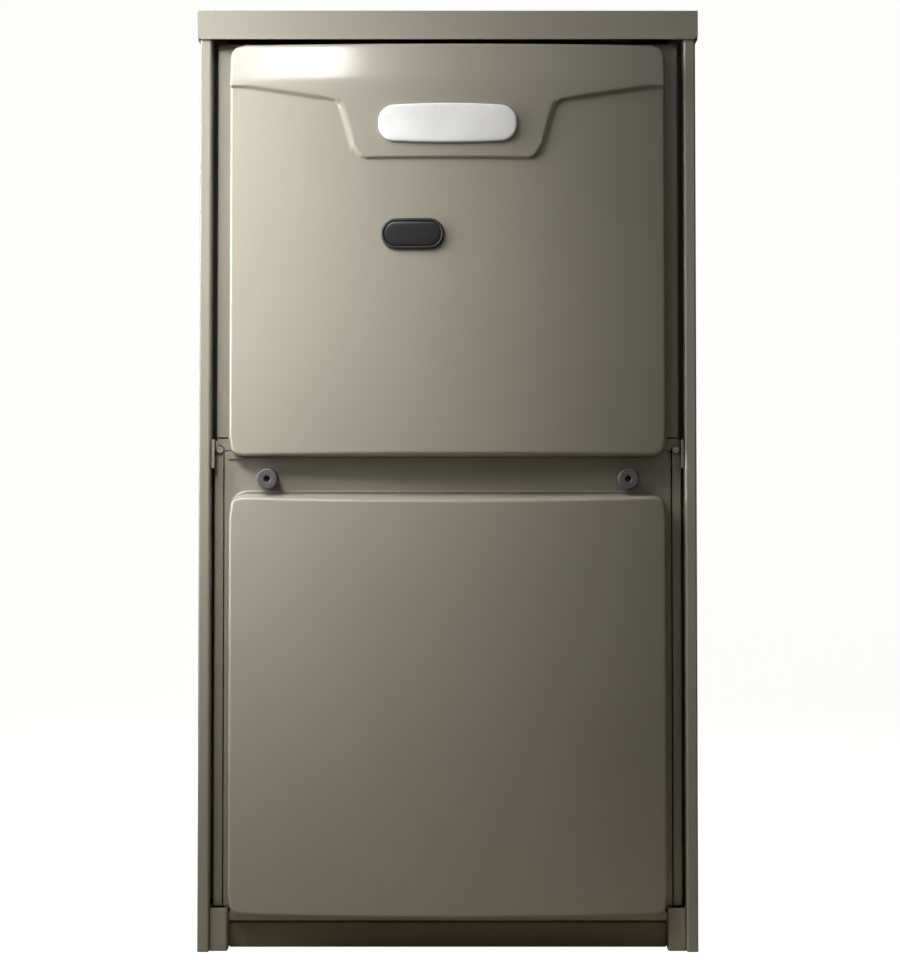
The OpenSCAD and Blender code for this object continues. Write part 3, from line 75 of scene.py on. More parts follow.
def surface(name, points, closed=False, keep=None, smooth=True):
    """Mesh of a grid of points[i, j]: each face joins (i, j), (i+1, j), (i+1, j+1) and (i, j+1), and where it is closed
    the last j joins the first. keep is a mask of the faces that stay. Points at one place are one vertex, so poles
    close."""
    rows, cols = points.shape[:2]
    a, b = np.meshgrid(np.arange(rows - 1), np.arange(cols if closed else cols - 1), indexing="ij")
    a2, b2 = a + 1, (b + 1) % cols
    faces = np.stack([a * cols + b, a2 * cols + b, a2 * cols + b2, a * cols + b2], -1)
    faces = faces.reshape(-1, 4) if keep is None else faces[keep]
    used, faces = np.unique(faces, return_inverse=True)
    places = points.reshape(-1, 3)[used]
    _, first, same = np.unique(np.round(places * 1e7), axis=0, return_index=True, return_inverse=True)
    faces = [list(dict.fromkeys(face)) for face in same.reshape(-1)[faces.reshape(-1, 4)].tolist()]
    mesh = bpy.data.meshes.new(name)
    mesh.from_pydata(places[first], [], [face for face in faces if len(face) > 2])
    mesh.polygons.foreach_set("use_smooth", np.full(len(mesh.polygons), smooth))
    mesh.update()
    piece = bpy.data.objects.new(name, mesh)
    bpy.context.collection.objects.link(piece)
    return piece


paper_half, paper_drop = 4.0, 0.0005      # half the paper's width, and how far it lies below the feet
sweep = np.array([[-4.0, 0.0], [1.4, 0.0], [1.75, 0.05], [2.0, 0.2], [2.15, 0.45], [2.2, 0.8], [2.2, 5.0]])
x, y = np.meshgrid([-paper_half, paper_half], sweep[:, 0])
backdrop = surface("backdrop", np.stack([x, y, np.broadcast_to(sweep[:, 1:] - paper_drop, x.shape)], -1))
paper = bpy.data.materials.new("white_paper")
paper.use_nodes = True
tree = paper.node_tree
shader = tree.nodes["Principled BSDF"]
shader.inputs["Roughness"].default_value = 0.9
shader.inputs["Specular IOR Level"].default_value = 0.0
place = wire(tree, "TexCoord").outputs["Object"]
fibre = wire(tree, "TexNoise", {"Vector": place, "Scale": 60.0})
tone = wire(tree, "ValToRGB", {"Fac": fibre.outputs["Fac"]})
tone.color_ramp.elements[0].color = (0.42, 0.395, 0.31, 1)
tone.color_ramp.elements[1].color = (0.46, 0.435, 0.35, 1)
tree.links.new(tone.outputs["Color"], shader.inputs["Base Color"])
path = wire(tree, "LightPath")
seen = wire(tree, "Math", {0: path.outputs["Is Camera Ray"], 1: path.outputs["Is Transmission Ray"]},
            operation="MAXIMUM")
split = wire(tree, "SeparateXYZ", {0: place})
# Under the cabinet's footprint the glow fades from full at its edge to almost none 3 cm in: a painted shadow on the
# floor
footprint = ((0, 0.0, 0.215), (1, 0.02, 0.345))      # axis, centre and half size
under = []
for axis, centre, half in footprint:
    off = wire(tree, "Math", {0: split.outputs[axis], 1: centre}, operation="SUBTRACT")
    off = wire(tree, "Math", {0: off.outputs[0]}, operation="ABSOLUTE")
    under.append(wire(tree, "Math", {0: off.outputs[0], 1: half}, operation="SUBTRACT"))
under = wire(tree, "Math", {0: under[0].outputs[0], 1: under[1].outputs[0]}, operation="MAXIMUM")
glow_with_painted_shadow = wire(tree, "MapRange", {"Value": under.outputs[0], 1: -0.03, 2: 0.0, 3: 0.05, 4: 0.97})
glow = wire(tree, "Math", {0: seen.outputs[0], 1: glow_with_painted_shadow.outputs[0]}, operation="MULTIPLY")
shader.inputs["Emission Color"].default_value = (1, 1, 1, 1)
tree.links.new(glow.outputs[0], shader.inputs["Emission Strength"])
backdrop.data.materials.append(paper)

world = bpy.data.worlds.new("studio")
bpy.context.scene.world = world
world.use_nodes = True
tree = world.node_tree
path = wire(tree, "LightPath")
air = wire(tree, "Mix", {0: path.outputs["Is Camera Ray"], "A": (0.008, 0.007, 0.004, 1), "B": (1, 1, 1, 1)},
           data_type="RGBA")
tree.nodes["Background"].inputs["Strength"].default_value = 1.0
tree.links.new(air.outputs[2], tree.nodes["Background"].inputs["Color"])


def softbox(name, centre, target, size, watts, spread=180):
    """A flat lamp of the given size at its centre, facing the target."""
    lamp = bpy.data.lights.new(name, "AREA")
    lamp.shape = "RECTANGLE"
    lamp.size, lamp.size_y = size
    lamp.energy = watts
    lamp.spread = math.radians(spread)
    rig = bpy.data.objects.new(name, lamp)
    away = np.subtract(target, centre)
    flat = math.hypot(away[0], away[1])
    rig.location = centre
    rig.rotation_euler = (math.atan2(flat, -away[2]), 0, math.atan2(-away[0], away[1]))
    bpy.context.collection.objects.link(rig)


key_place, near_place = (-0.49, -1.35, 1.45), (-0.6, -0.7, 1.2)
softbox("key_softbox", key_place, (-0.35, -0.35, 0.75), (0.34, 0.30), 0.48, spread=45)
softbox("key_core", key_place, (-0.3, -0.35, 0.6), (0.34, 0.30), 0.26, spread=30)
softbox("near_softbox", near_place, (-0.12, -0.35, 0.6), (0.4, 0.4), 2.3)
softbox("near_grid", near_place, (-0.12, -0.35, 0.5), (0.4, 0.4), 0.81, spread=60)
softbox("left_strip", (-0.85, -0.5, 0.6), (-0.1, -0.35, 0.55), (0.30, 0.7), 1.6, spread=100)
softbox("left_strip_high", (-0.85, -0.5, 0.8), (-0.1, -0.35, 0.65), (0.30, 0.6), 0.95, spread=60)
softbox("right_softbox", (0.6, -1.35, 1.35), (0.25, -0.35, 0.7), (0.9, 0.9), 0.13, spread=60)
softbox("front_fill", (0.0, -2.6, 0.9), (0.0, -0.35, 0.45), (2.4, 2.4), 1.8)
softbox("back_left", (-1.5, 1.5, 1.6), (0.0, 0.2, 0.45), (0.9, 0.9), 2.6, spread=45)
softbox("back_right", (1.6, 1.1, 1.5), (0.1, 0.1, 0.4), (0.9, 0.9), 2.0, spread=45)

bpy.context.scene.view_settings.view_transform = "Standard"


# ---- Cabinet shell ---------------------------------------------------------------------------------------------------
# The real one is a wrapper of 1 mm sheet, folded round both sides and the back with turned front flanges, painted in
# a warm grey enamel whose faint orange peel breaks up its gloss.
def effect(name, inputs, outputs=()):
    """An empty shader node group. It takes a place and the given (kind, name, value) inputs, and puts out a colour, a
    roughness, a normal and the given (kind, name) outputs."""
    group = bpy.data.node_groups.new(name, "ShaderNodeTree")
    for kind, label, value in [("Vector", "Place", (0, 0, 0)), *inputs]:
        socket = group.interface.new_socket(label, in_out="INPUT", socket_type="NodeSocket" + kind)
        socket.default_value = value
    for kind, label in [("Color", "Colour"), ("Float", "Roughness"), ("Vector", "Normal"), *outputs]:
        group.interface.new_socket(label, in_out="OUTPUT", socket_type="NodeSocket" + kind)
    return group, group.nodes.new("NodeGroupInput").outputs, group.nodes.new("NodeGroupOutput").inputs


def noise(group, given, scale, detail, **settings):
    """Fractal noise over the group's place: most of it lies between 0.3 and 0.7."""
    inputs = {"Vector": given["Place"], "Scale": scale, "Detail": detail, **settings}
    return wire(group, "TexNoise", inputs).outputs["Fac"]


def ranged(group, value, low, high, start=0.3, end=0.7):
    """The value on an even slope: low at start and high at end, and no further than those."""
    return wire(group, "MapRange", {"Value": value, 1: start, 2: end, 3: low, 4: high}).outputs[0]


def times(group, colour, shade):
    """The colour times the shade."""
    return wire(group, "VectorMath", {0: colour, 1: shade}, operation="MULTIPLY").outputs[0]


def plus(group, wear, gloss):
    """The wear plus the gloss."""
    return wire(group, "Math", {0: wear, 1: gloss}, operation="ADD").outputs[0]


def put_out(group, out, colour, rough, height, strength, distance):
    """Links colour and roughness to the group's outputs, and the normal of a bump of the given height."""
    bump = wire(group, "Bump", {"Height": height, "Strength": strength, "Distance": distance})
    for label, socket in (("Colour", colour), ("Roughness", rough), ("Normal", bump.outputs["Normal"])):
        group.links.new(socket, out[label])


def coated(name, group, values, metallic=0.0, **sockets):
    """A material whose group, fed with Object coordinates and the given values, drives colour, roughness, normal."""
    made = bpy.data.materials.new(name)
    made.use_nodes = True
    tree = made.node_tree
    shader = tree.nodes["Principled BSDF"]
    shader.inputs["Metallic"].default_value = metallic
    for key, value in sockets.items():
        shader.inputs[key.replace("_", " ")].default_value = value
    look = tree.nodes.new("ShaderNodeGroup")
    look.node_tree = group
    tree.links.new(wire(tree, "TexCoord").outputs["Object"], look.inputs["Place"])
    for key, value in values.items():
        look.inputs[key].default_value = value
    for output, socket in (("Colour", "Base Color"), ("Roughness", "Roughness"), ("Normal", "Normal"),
                           ("Metallic", "Metallic")):
        if output in look.outputs:
            tree.links.new(look.outputs[output], shader.inputs[socket])
    return made


def dress(made, *nodes):
    """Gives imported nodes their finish: every material slot of each one's object."""
    for node in nodes:
        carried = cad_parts[node]
        if not carried.material_slots:
            carried.data.materials.append(made)
        for slot in carried.material_slots:
            slot.material = made


enamel, given, out = effect("enamel", [("Color", "Paint", (0.3, 0.3, 0.3, 1)), ("Float", "Gloss", 0.35),
                                       ("Float", "Peel", 0.02)])
cloud = ranged(enamel, noise(enamel, given, 7.0, 3.0), 0.97, 1.03)
peel = noise(enamel, given, 420.0, 2.0)
wear = ranged(enamel, peel, -0.03, 0.03, 0.2, 0.8)
put_out(enamel, out, times(enamel, given["Paint"], cloud), plus(enamel, wear, given["Gloss"]), peel, given["Peel"],
        0.001)

cabinet_paint = coated("cabinet_paint", enamel, {"Paint": (0.343, 0.322, 0.262, 1), "Gloss": 0.40, "Peel": 0.05},
                       Specular_IOR_Level=0.3, Coat_Weight=0.5, Coat_Roughness=0.16)
dress(cabinet_paint, "cabinet_left_side", "cabinet_right_side", "cabinet_back")


# ---- Top cap ---------------------------------------------------------------------------------------------------------
# A pressed lid in the same enamel, with a skirt over the cabinet and openings for the supply duct and the vents.
dress(cabinet_paint, "top_cap")


# ---- Cap screws ------------------------------------------------------------------------------------------------------
# Zinc plated hex washer screws, driven through the cap's corners.
plated, given, out = effect("plated", [("Color", "Metal", (0.6, 0.6, 0.6, 1)), ("Float", "Gloss", 0.3)])
stain = noise(plated, given, 180.0, 4.0)
dull = ranged(plated, stain, 0.82, 1.1)
wear = ranged(plated, stain, 0.08, -0.06)
put_out(plated, out, times(plated, given["Metal"], dull), plus(plated, wear, given["Gloss"]), stain, 0.1, 0.0005)
# The zinc is only half metal: the rest is a diffuse light grey, a painted sheen that keeps the heads light in the dim
# studio
zinc_and_painted_sheen = coated("zinc_screw", plated, {"Metal": (0.82, 0.81, 0.78, 1), "Gloss": 0.25}, metallic=0.55)
dress(zinc_and_painted_sheen, "cabinet_screws")


# ---- Base rail, base pan, duct flange and corner brackets ------------------------------------------------------------
# The rail under the lower door is a recessed channel in a darker coat, with a short lap at each end. The pan, with the
# return air opening, and the supply duct's flange are bare galvanised sheet. Two brackets tie the pan to the corners.
def sheeted(piece, made):
    """Thickens an open surface into 1 mm sheet behind its face, and paints it."""
    sheet = piece.modifiers.new("sheet", "SOLIDIFY")
    sheet.thickness = 0.001
    sheet.offset = -1
    piece.data.materials.append(made)


rail_paint = coated("dark_paint", enamel, {"Paint": (0.225, 0.205, 0.145, 1), "Gloss": 0.55, "Peel": 0.05},
                    Specular_IOR_Level=0.2)
dress(rail_paint, "base_rail")
lap_y = front_y + 0.0152
for side, flip in (("left", -1), ("right", 1)):
    x, z = np.meshgrid(flip * np.array([0.1900, 0.1985]), [0.0012, 0.0213], indexing="ij")
    lap = surface(side + "_rail_lap", np.stack([x, np.full_like(x, lap_y), z], -1)[::flip])
    sheeted(lap, rail_paint)
    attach(lap, "furnace")

spangled, given, out = effect("spangled", [("Color", "Metal", (0.5, 0.5, 0.5, 1)), ("Float", "Gloss", 0.35),
                                           ("Float", "Cells", 90.0)])
bent = wire(spangled, "TexNoise", {"Vector": given["Place"], "Scale": 60.0, "Detail": 2.0})
bent = times(spangled, bent.outputs["Color"], (0.004, 0.004, 0.004))
bent = wire(spangled, "VectorMath", {0: given["Place"], 1: bent}, operation="ADD")
cells = wire(spangled, "TexVoronoi", {"Vector": bent.outputs[0], "Scale": given["Cells"]})
grey = wire(spangled, "SeparateColor", {0: cells.outputs["Color"]}).outputs
shade = ranged(spangled, grey[0], 0.84, 1.08, 0.0, 1.0)
wear = ranged(spangled, grey[1], -0.07, 0.09, 0.0, 1.0)
put_out(spangled, out, times(spangled, given["Metal"], shade), plus(spangled, wear, given["Gloss"]), grey[2], 0.06,
        0.0005)
galvanised = coated("galvanised_sheet", spangled, {"Metal": (0.58, 0.59, 0.60, 1), "Gloss": 0.36}, metallic=1.0)
dress(galvanised, "base_pan", "supply_duct_flange")
dress(cabinet_paint, "corner_brackets")


# ---- Blower deck and vestibule panel ---------------------------------------------------------------------------------
# Two galvanised panels that divide the cabinet: the deck carries the blower, the vestibule panel the burner box.
dress(galvanised, "blower_deck", "vestibule_panel")


# ---- Insulation ------------------------------------------------------------------------------------------------------
# Foil faced glass fibre board, glued to the cabinet's sides and inside both doors. Scrim threads show through the foil
# in squares, and the foil is creased.
foiled, given, out = effect("foiled", [("Color", "Foil", (0.7, 0.7, 0.7, 1))])
folds = noise(foiled, given, 45.0, 6.0, Roughness=0.65, Distortion=1.2)
thread_pitch = 0.012
split = wire(foiled, "SeparateXYZ", {0: given["Place"]})
threads = []
for axis in (1, 2):
    turns = wire(foiled, "Math", {0: split.outputs[axis], 1: 2 * math.pi / thread_pitch}, operation="MULTIPLY")
    wave = wire(foiled, "Math", {0: turns.outputs[0]}, operation="COSINE")
    threads.append(wire(foiled, "Math", {0: wave.outputs[0], 1: 0.96}, operation="GREATER_THAN"))
scrim = wire(foiled, "Math", {0: threads[0].outputs[0], 1: threads[1].outputs[0]}, operation="MAXIMUM")
relief = wire(foiled, "Math", {0: scrim.outputs[0], 1: 0.35, 2: folds}, operation="MULTIPLY_ADD")
shade = ranged(foiled, folds, 0.85, 1.08)
rough = ranged(foiled, folds, 0.25, 0.45)
put_out(foiled, out, times(foiled, given["Foil"], shade), rough, relief.outputs[0], 0.35, 0.002)
foil = coated("foil_insulation", foiled, {"Foil": (0.70, 0.71, 0.72, 1)}, metallic=0.85)
dress(foil, "insulation_liner", "upper_door_insulation", "lower_door_insulation")


# ---- Door frames, clips and corner screws ----------------------------------------------------------------------------
# Painted strips stand beside the lower door. A small folded clip on each side holds the upper door's ear, and a zinc
# screw beside it, one of the cabinet's screws, ties the strip to the cabinet.
dress(cabinet_paint, "door_frames", "retainer_clips")


# ---- Burners, burner box and their sensors ---------------------------------------------------------------------------
# Stamped burners in a galvanised box, lit by a ceramic igniter and watched by a flame rod and a rollout switch.
dress(galvanised, "burner_box", "rollout_switch")
stamped = coated("burner_steel", plated, {"Metal": (0.56, 0.57, 0.58, 1), "Gloss": 0.32}, metallic=1.0)
dress(stamped, "burners")

moulded, given, out = effect("moulded", [("Color", "Plastic", (0.1, 0.1, 0.1, 1)), ("Float", "Gloss", 0.4),
                                         ("Float", "Grain", 900.0), ("Float", "Depth", 0.1)])
grain = noise(moulded, given, given["Grain"], 2.0)
shade = ranged(moulded, noise(moulded, given, 30.0, 3.0), 0.93, 1.07)
wear = ranged(moulded, grain, -0.05, 0.05)
put_out(moulded, out, times(moulded, given["Plastic"], shade), plus(moulded, wear, given["Gloss"]), grain,
        given["Depth"], 0.0004)
ceramic = coated("ceramic", moulded, {"Plastic": (0.72, 0.70, 0.63, 1), "Gloss": 0.55, "Grain": 500.0, "Depth": 0.2})
dress(ceramic, "igniter", "flame_sensor")
red = coated("red_plastic", moulded, {"Plastic": (0.50, 0.022, 0.015, 1), "Gloss": 0.3})
dress(red, "rollout_reset_button")

sight = bpy.data.materials.new("sight_glass")
sight.use_nodes = True
tree = sight.node_tree
shader = tree.nodes["Principled BSDF"]
shader.inputs["Transmission Weight"].default_value = 1.0
shader.inputs["IOR"].default_value = 1.5
haze = wire(tree, "TexNoise", {"Vector": wire(tree, "TexCoord").outputs["Object"], "Scale": 200.0})
tree.links.new(ranged(tree, haze.outputs["Fac"], 0.02, 0.12, 0.0, 1.0), shader.inputs["Roughness"])
dress(sight, "burner_sight_glass")


# ---- Gas manifold and valve ------------------------------------------------------------------------------------------
# Black steel pipe with brass orifices, fed by a die cast aluminium valve whose red switch turns a quarter turn. A plane
# across the pipe parts the brass from the steel, and up to two such planes do the same for other pieces of one node.
plain = (0.1, 0.1, 0.1, 1)
fitted, given, out = effect("fitted", [
    ("Color", "Body", plain), ("Color", "Fitting", plain), ("Color", "Second", plain),
    ("Vector", "Side", (0, -1, 0)), ("Float", "Reach", 0.0),
    ("Vector", "Second Side", (0, 0, 1)), ("Float", "Second Reach", 0.0),
    ("Float", "Metal", 0.0), ("Float", "Fitting Metal", 0.0)], [("Float", "Metallic")])
past = []
for side, reach in (("Side", "Reach"), ("Second Side", "Second Reach")):
    along = wire(fitted, "VectorMath", {0: given["Place"], 1: given[side]}, operation="DOT_PRODUCT")
    past.append(wire(fitted, "Math", {0: along.outputs["Value"], 1: given[reach]}, operation="GREATER_THAN").outputs[0])
which = wire(fitted, "Mix", {0: past[1], "A": given["Fitting"], "B": given["Second"]}, data_type="RGBA")
which = wire(fitted, "Mix", {0: past[0], "A": given["Body"], "B": which.outputs[2]}, data_type="RGBA")
metal = wire(fitted, "Mix", {0: past[0], "A": given["Metal"], "B": given["Fitting Metal"]})
fitted.links.new(metal.outputs[0], out["Metallic"])
grain = noise(fitted, given, 350.0, 3.0)
shade = ranged(fitted, grain, 0.9, 1.1)
rough = ranged(fitted, grain, 0.3, 0.44)
put_out(fitted, out, times(fitted, which.outputs[2], shade), rough, grain, 0.12, 0.0004)

brass = (0.62, 0.40, 0.13, 1)
pipe_black = coated("black_pipe", fitted, {"Body": (0.018, 0.018, 0.019, 1), "Fitting": brass, "Second": brass,
                                           "Side": (0, 1, 0), "Reach": front_y + 0.1065, "Fitting Metal": 1.0})
dress(pipe_black, "gas_manifold")
cast = coated("valve_aluminium", plated, {"Metal": (0.66, 0.66, 0.67, 1), "Gloss": 0.42}, metallic=1.0)
dress(cast, "gas_valve")
dress(red, "gas_valve_switch")


# ---- Heat exchanger --------------------------------------------------------------------------------------------------
# Four serpentine tubes of aluminised steel run back and forth, then a coil of tubes in aluminium fins. The steel is
# browned by the flames near the burners.
tempered, given, out = effect("tempered", [("Color", "Metal", (0.5, 0.5, 0.5, 1)),
                                           ("Color", "Tint", (0.3, 0.2, 0.12, 1)), ("Float", "Front", -0.14)])
split = wire(tempered, "SeparateXYZ", {0: given["Place"]})
cloud = noise(tempered, given, 40.0, 4.0)
near = wire(tempered, "Math", {0: split.outputs[1], 1: given["Front"]}, operation="SUBTRACT")
near = wire(tempered, "Math", {0: cloud, 1: 0.08, 2: near.outputs[0]}, operation="MULTIPLY_ADD")
heat = ranged(tempered, near.outputs[0], 0.0, 0.85, 0.16, 0.03)
tint = wire(tempered, "Mix", {0: heat, "A": given["Metal"], "B": given["Tint"]}, data_type="RGBA")
put_out(tempered, out, tint.outputs[2], ranged(tempered, cloud, 0.34, 0.5), cloud, 0.1, 0.001)
aluminised = coated("aluminised_steel", tempered, {"Metal": (0.46, 0.47, 0.48, 1), "Tint": (0.26, 0.19, 0.12, 1)},
                    metallic=1.0)
dress(aluminised, "heat_exchanger_tubes", "hot_header")
fins = coated("fin_aluminium", plated, {"Metal": (0.80, 0.80, 0.81, 1), "Gloss": 0.3}, metallic=1.0)
dress(fins, "secondary_coil")
black = coated("black_plastic", moulded, {"Plastic": (0.020, 0.020, 0.021, 1), "Gloss": 0.42})
dress(black, "cold_end_header")


# ---- Inducer and vents -----------------------------------------------------------------------------------------------
# A black moulded scroll with its motor and cooling fan, blowing into white plastic pipe that ends in the collars.
dress(black, "inducer_housing", "inducer_cooling_fan", "pressure_switch")
dress(stamped, "inducer_wheel")
motor_coat = coated("motor_black", enamel, {"Paint": (0.016, 0.016, 0.018, 1), "Gloss": 0.3, "Peel": 0.15})
dress(motor_coat, "inducer_motor")
pvc = coated("white_pvc", moulded, {"Plastic": (0.74, 0.74, 0.71, 1), "Gloss": 0.32, "Grain": 300.0, "Depth": 0.04})
dress(pvc, "vent_pipes", "vent_collars")
silicone = coated("hose_rubber", moulded, {"Plastic": (0.50, 0.50, 0.47, 1), "Gloss": 0.5})
dress(silicone, "pressure_hose")


# ---- Condensate trap and limit switch --------------------------------------------------------------------------------
# A ribbed grey trap under the cold header drains through the cabinet's side. The limit switch sits on the vestibule.
grey_plastic = coated("grey_plastic", moulded, {"Plastic": (0.075, 0.080, 0.088, 1), "Gloss": 0.45})
dress(grey_plastic, "condensate_trap")
dress(galvanised, "limit_switch")


# ---- Blower ----------------------------------------------------------------------------------------------------------
# A galvanised scroll with a forward-curved wheel on the motor's shaft, held by three straps.
dress(galvanised, "blower_housing", "motor_mount")
dress(stamped, "blower_wheel")
stainless = coated("stainless", plated, {"Metal": (0.64, 0.63, 0.61, 1), "Gloss": 0.22}, metallic=1.0)
dress(stainless, "blower_shaft")
dress(motor_coat, "blower_motor")


# ---- Controls --------------------------------------------------------------------------------------------------------
# The control board and transformer hang in a galvanised box under the deck, with the junction box beside them. The
# board's parts are black in front of the laminate and white at its foot, and the transformer's tape is amber.
dress(galvanised, "control_box", "junction_box")
laminate = coated("green_board", fitted, {
    "Body": (0.010, 0.080, 0.030, 1), "Fitting": (0.022, 0.022, 0.025, 1), "Second": (0.62, 0.61, 0.56, 1),
    "Side": (0, -1, 0), "Reach": -(front_y + 0.1222), "Second Side": (0, 0, -1), "Second Reach": -0.3360})
dress(laminate, "control_board")
tape = (0.55, 0.34, 0.06, 1)
core = coated("transformer_steel", fitted, {
    "Body": (0.16, 0.16, 0.17, 1), "Fitting": tape, "Second": tape, "Metal": 0.8,
    "Side": (0, -1, 0), "Reach": -(front_y + 0.0818)})
dress(core, "transformer")
dress(black, "door_switch")
white = coated("white_plastic", moulded, {"Plastic": (0.70, 0.70, 0.67, 1), "Gloss": 0.3})
dress(white, "door_switch_plunger")
rubber = coated("black_rubber", moulded, {"Plastic": (0.016, 0.016, 0.016, 1), "Gloss": 0.6, "Depth": 0.2})
dress(rubber, "wire_harness", "grommets_and_plugs")


# ---- Doors -----------------------------------------------------------------------------------------------------------
# Each door is one pressing of 1 mm sheet: a flange with folded edges, a drafted wall that rolls into the front, and a
# bowed front. The upper one carries a winged brow, the lower one a fine step along its top.
flange_y = front_y + 0.010      # face of both doors' flanges
panel_half = 0.195              # half the raised panels' width
crown, bow_rise = 0.029, 0.015  # the front's middle over the flange, and over the front's own side edges
bow_radius = (panel_half**2 + bow_rise**2) / (2 * bow_rise)


def bow(x):
    """Height of the bowed front above the flange: 14 mm at the side edges, rising on one circle to 29 mm."""
    return crown - (bow_radius - np.sqrt(bow_radius**2 - np.minimum(np.abs(x), panel_half)**2))


def ease(f):
    """A soft step from 0 to 1: 3 f squared less 2 f cubed."""
    f = np.clip(f, 0, 1)
    return f * f * (3 - 2 * f)


def brow_edge(x):
    """Height of the brow's lower edge: flat under the badge, a steep rise beside it, then a wing that climbs."""
    at = [0, 0.0724, 0.0765, 0.0800, 0.0840, 0.0865, 0.0906, 0.0932, 0.0960, 0.1000, 0.1050, 0.1788, 0.1850, 0.1950]
    up = [0, 0.0000, 0.0015, 0.0050, 0.0105, 0.0190, 0.0335, 0.0420, 0.0480, 0.0515, 0.0530, 0.0662, 0.0668, 0.0668]
    drop_z = 0.7015
    return drop_z + np.interp(np.abs(x), at, up)


def brow(x, z):
    """How far the brow stands proud: a soft step over its edge, and wider than the slope asks where the edge is steep.
    Above a soft crease it leans back at an even slope."""
    proud, soft = 0.0025, 0.0022
    crease_z, crease, lean_back = 0.7725, 0.006, math.radians(9)
    slope = (brow_edge(x + 0.001) - brow_edge(x - 0.001)) / 0.002
    wide = soft * np.sqrt(1 + slope**2) * (1 + 2.4 * ease((np.abs(slope) - 0.3) / 1.5))
    past = z - crease_z
    leant = 0.5 * (past + np.sqrt(past**2 + crease**2))
    return proud * ease((z - brow_edge(x)) / wide + 0.5) - math.tan(lean_back) * leant


def pressed(half, low, high, foot, top, fold, relief, draft, columns, rows, hem=1.0, shelf=None, step=0.0):
    """A pressed door as a grid. From the edge inwards, rings 0 to 4 go along the folded edge and round its bend, rings
    5 and 6 lie on the flange, rings 7 to 9 turn up into the wall, rings 10 to 15 climb the wall and roll into the
    front. The rings of the raised panel sit further in by the wall's height times the draft's tangent, and square
    corners are pulled onto arcs. Inside the rings the front is bow plus relief. hem scales the bend along the foot,
    shelf is ring 5's height at the top, and step raises rings 8 and 9 there into a fine ledge."""
    count = 16
    bend, roll, last_in = 0.0018, 0.0025, 0.0013      # radii of the bend and the roll, and ring 15's step inwards
    edge_radius, panel_radius, least_radius = 0.003, 0.0125, 0.005      # of the corners' arcs
    a = np.radians([30, 60, 90])
    fold_in = np.concatenate([[0, 0], bend * (1 - np.cos(a))])
    fold_up = np.concatenate([[-fold, -bend], -bend + bend * np.sin(a)])
    flat_up = np.concatenate([fold_up, [0.0001, 0.0001, 0.0001, 0.0005, 0.0015]])
    toe_in = np.array([-0.0022, -0.0014, -0.0004, 0.0002])
    ledge_in = np.array([-0.0022, -0.0021, -0.0012, -0.0010])
    ledge_up = np.concatenate([np.zeros(8), [0.0018, -0.0002]])
    turn = np.radians([8, 30, 52, 72, 90, 90])

    def inset(m, h, lean, toe):
        """How far ring m, from 6 on, lies inside the foot, for a panel of height h."""
        if m < 10:
            return toe[m - 6] + 0 * h
        return np.tan(lean) * (h - roll) + roll * (1 - np.cos(turn[m - 10])) + (last_in if m == count - 1 else 0)

    side_h = bow(np.array(panel_half))
    side_in = np.array([0.0 if m < 6 else float(inset(m, side_h, draft[0], toe_in)) for m in range(count)])
    left = np.concatenate([-half + fold_in, [-(half + panel_half) / 2], -panel_half + side_in[6:]])
    xs = np.concatenate([left, columns, -left[::-1]])
    x = xs[:, None]
    ledge = step * ease((0.191 - np.abs(x)) / 0.008)
    bottom_h = bow(x) + relief(x, foot + 0 * x)
    top_h = bow(x) + relief(x, top + 0 * x)
    lower = [low + hem * fold_in[m] + 0 * x if m < 5 else (low + foot) / 2 + 0 * x if m < 6
             else foot + inset(m, bottom_h, draft[1], hem * toe_in) for m in range(count)]
    upper = [high - fold_in[m] + 0 * x if m < 5 else (shelf or (high + top) / 2) + 0 * x if m < 6
             else top - inset(m, top_h, draft[2], toe_in) - (ledge * ledge_in[m - 6] if m < 10 else 0)
             for m in range(count - 1, -1, -1)]
    lower, upper = np.concatenate(lower, 1), np.concatenate(upper, 1)
    inner = lower[:, -1:] + (upper[:, :1] - lower[:, -1:]) * rows[None, :]
    zs = np.concatenate([lower, inner, upper], 1)

    nx, nz = zs.shape
    i, j = np.meshgrid(np.arange(nx), np.arange(nz), indexing="ij")
    ring = np.minimum(np.minimum(i, nx - 1 - i), np.minimum(j, nz - 1 - j))
    m = np.minimum(ring, count - 1)
    px = np.broadcast_to(x, zs.shape).copy()
    pz = zs.copy()
    ringed = ring < count
    near_x = np.where(i < nx / 2, px - xs[m], xs[nx - 1 - m] - px)
    near_z = np.where(j < nz / 2, pz - zs[i, m], zs[i, nz - 1 - m] - pz)
    radius = np.where(m < 6, edge_radius, np.maximum(panel_radius - np.maximum(side_in[m], 0), least_radius))
    corner = ringed & (np.maximum(near_x, near_z) < radius)
    sweep = np.radians(45 + 45 * (near_x - near_z) / radius)
    px += np.where(corner, np.where(i < nx / 2, 1, -1) * (radius - radius * np.cos(sweep) - near_x), 0)
    pz += np.where(corner, np.where(j < nz / 2, 1, -1) * (radius - radius * np.sin(sweep) - near_z), 0)
    front = bow(px) + relief(px, pz)
    flat = flat_up[np.minimum(m, 9)] + ledge_up[np.minimum(m, 9)] * ledge * (j > nz / 2)
    rolled = front - roll + roll * np.sin(turn[np.clip(m - 10, 0, 5)])
    return px, pz, np.where(ringed, np.where(m < 10, flat, rolled), front)


def spaced(stops):
    """Places between the stops (from, to, step), each stretch evenly divided."""
    return np.unique(np.concatenate([np.linspace(a, b, int(round((b - a) / s)) + 1) for a, b, s in stops]))


def both_ways(half):
    """The places from 0 outwards, mirrored to the other side."""
    return np.concatenate([-half[:0:-1], half])


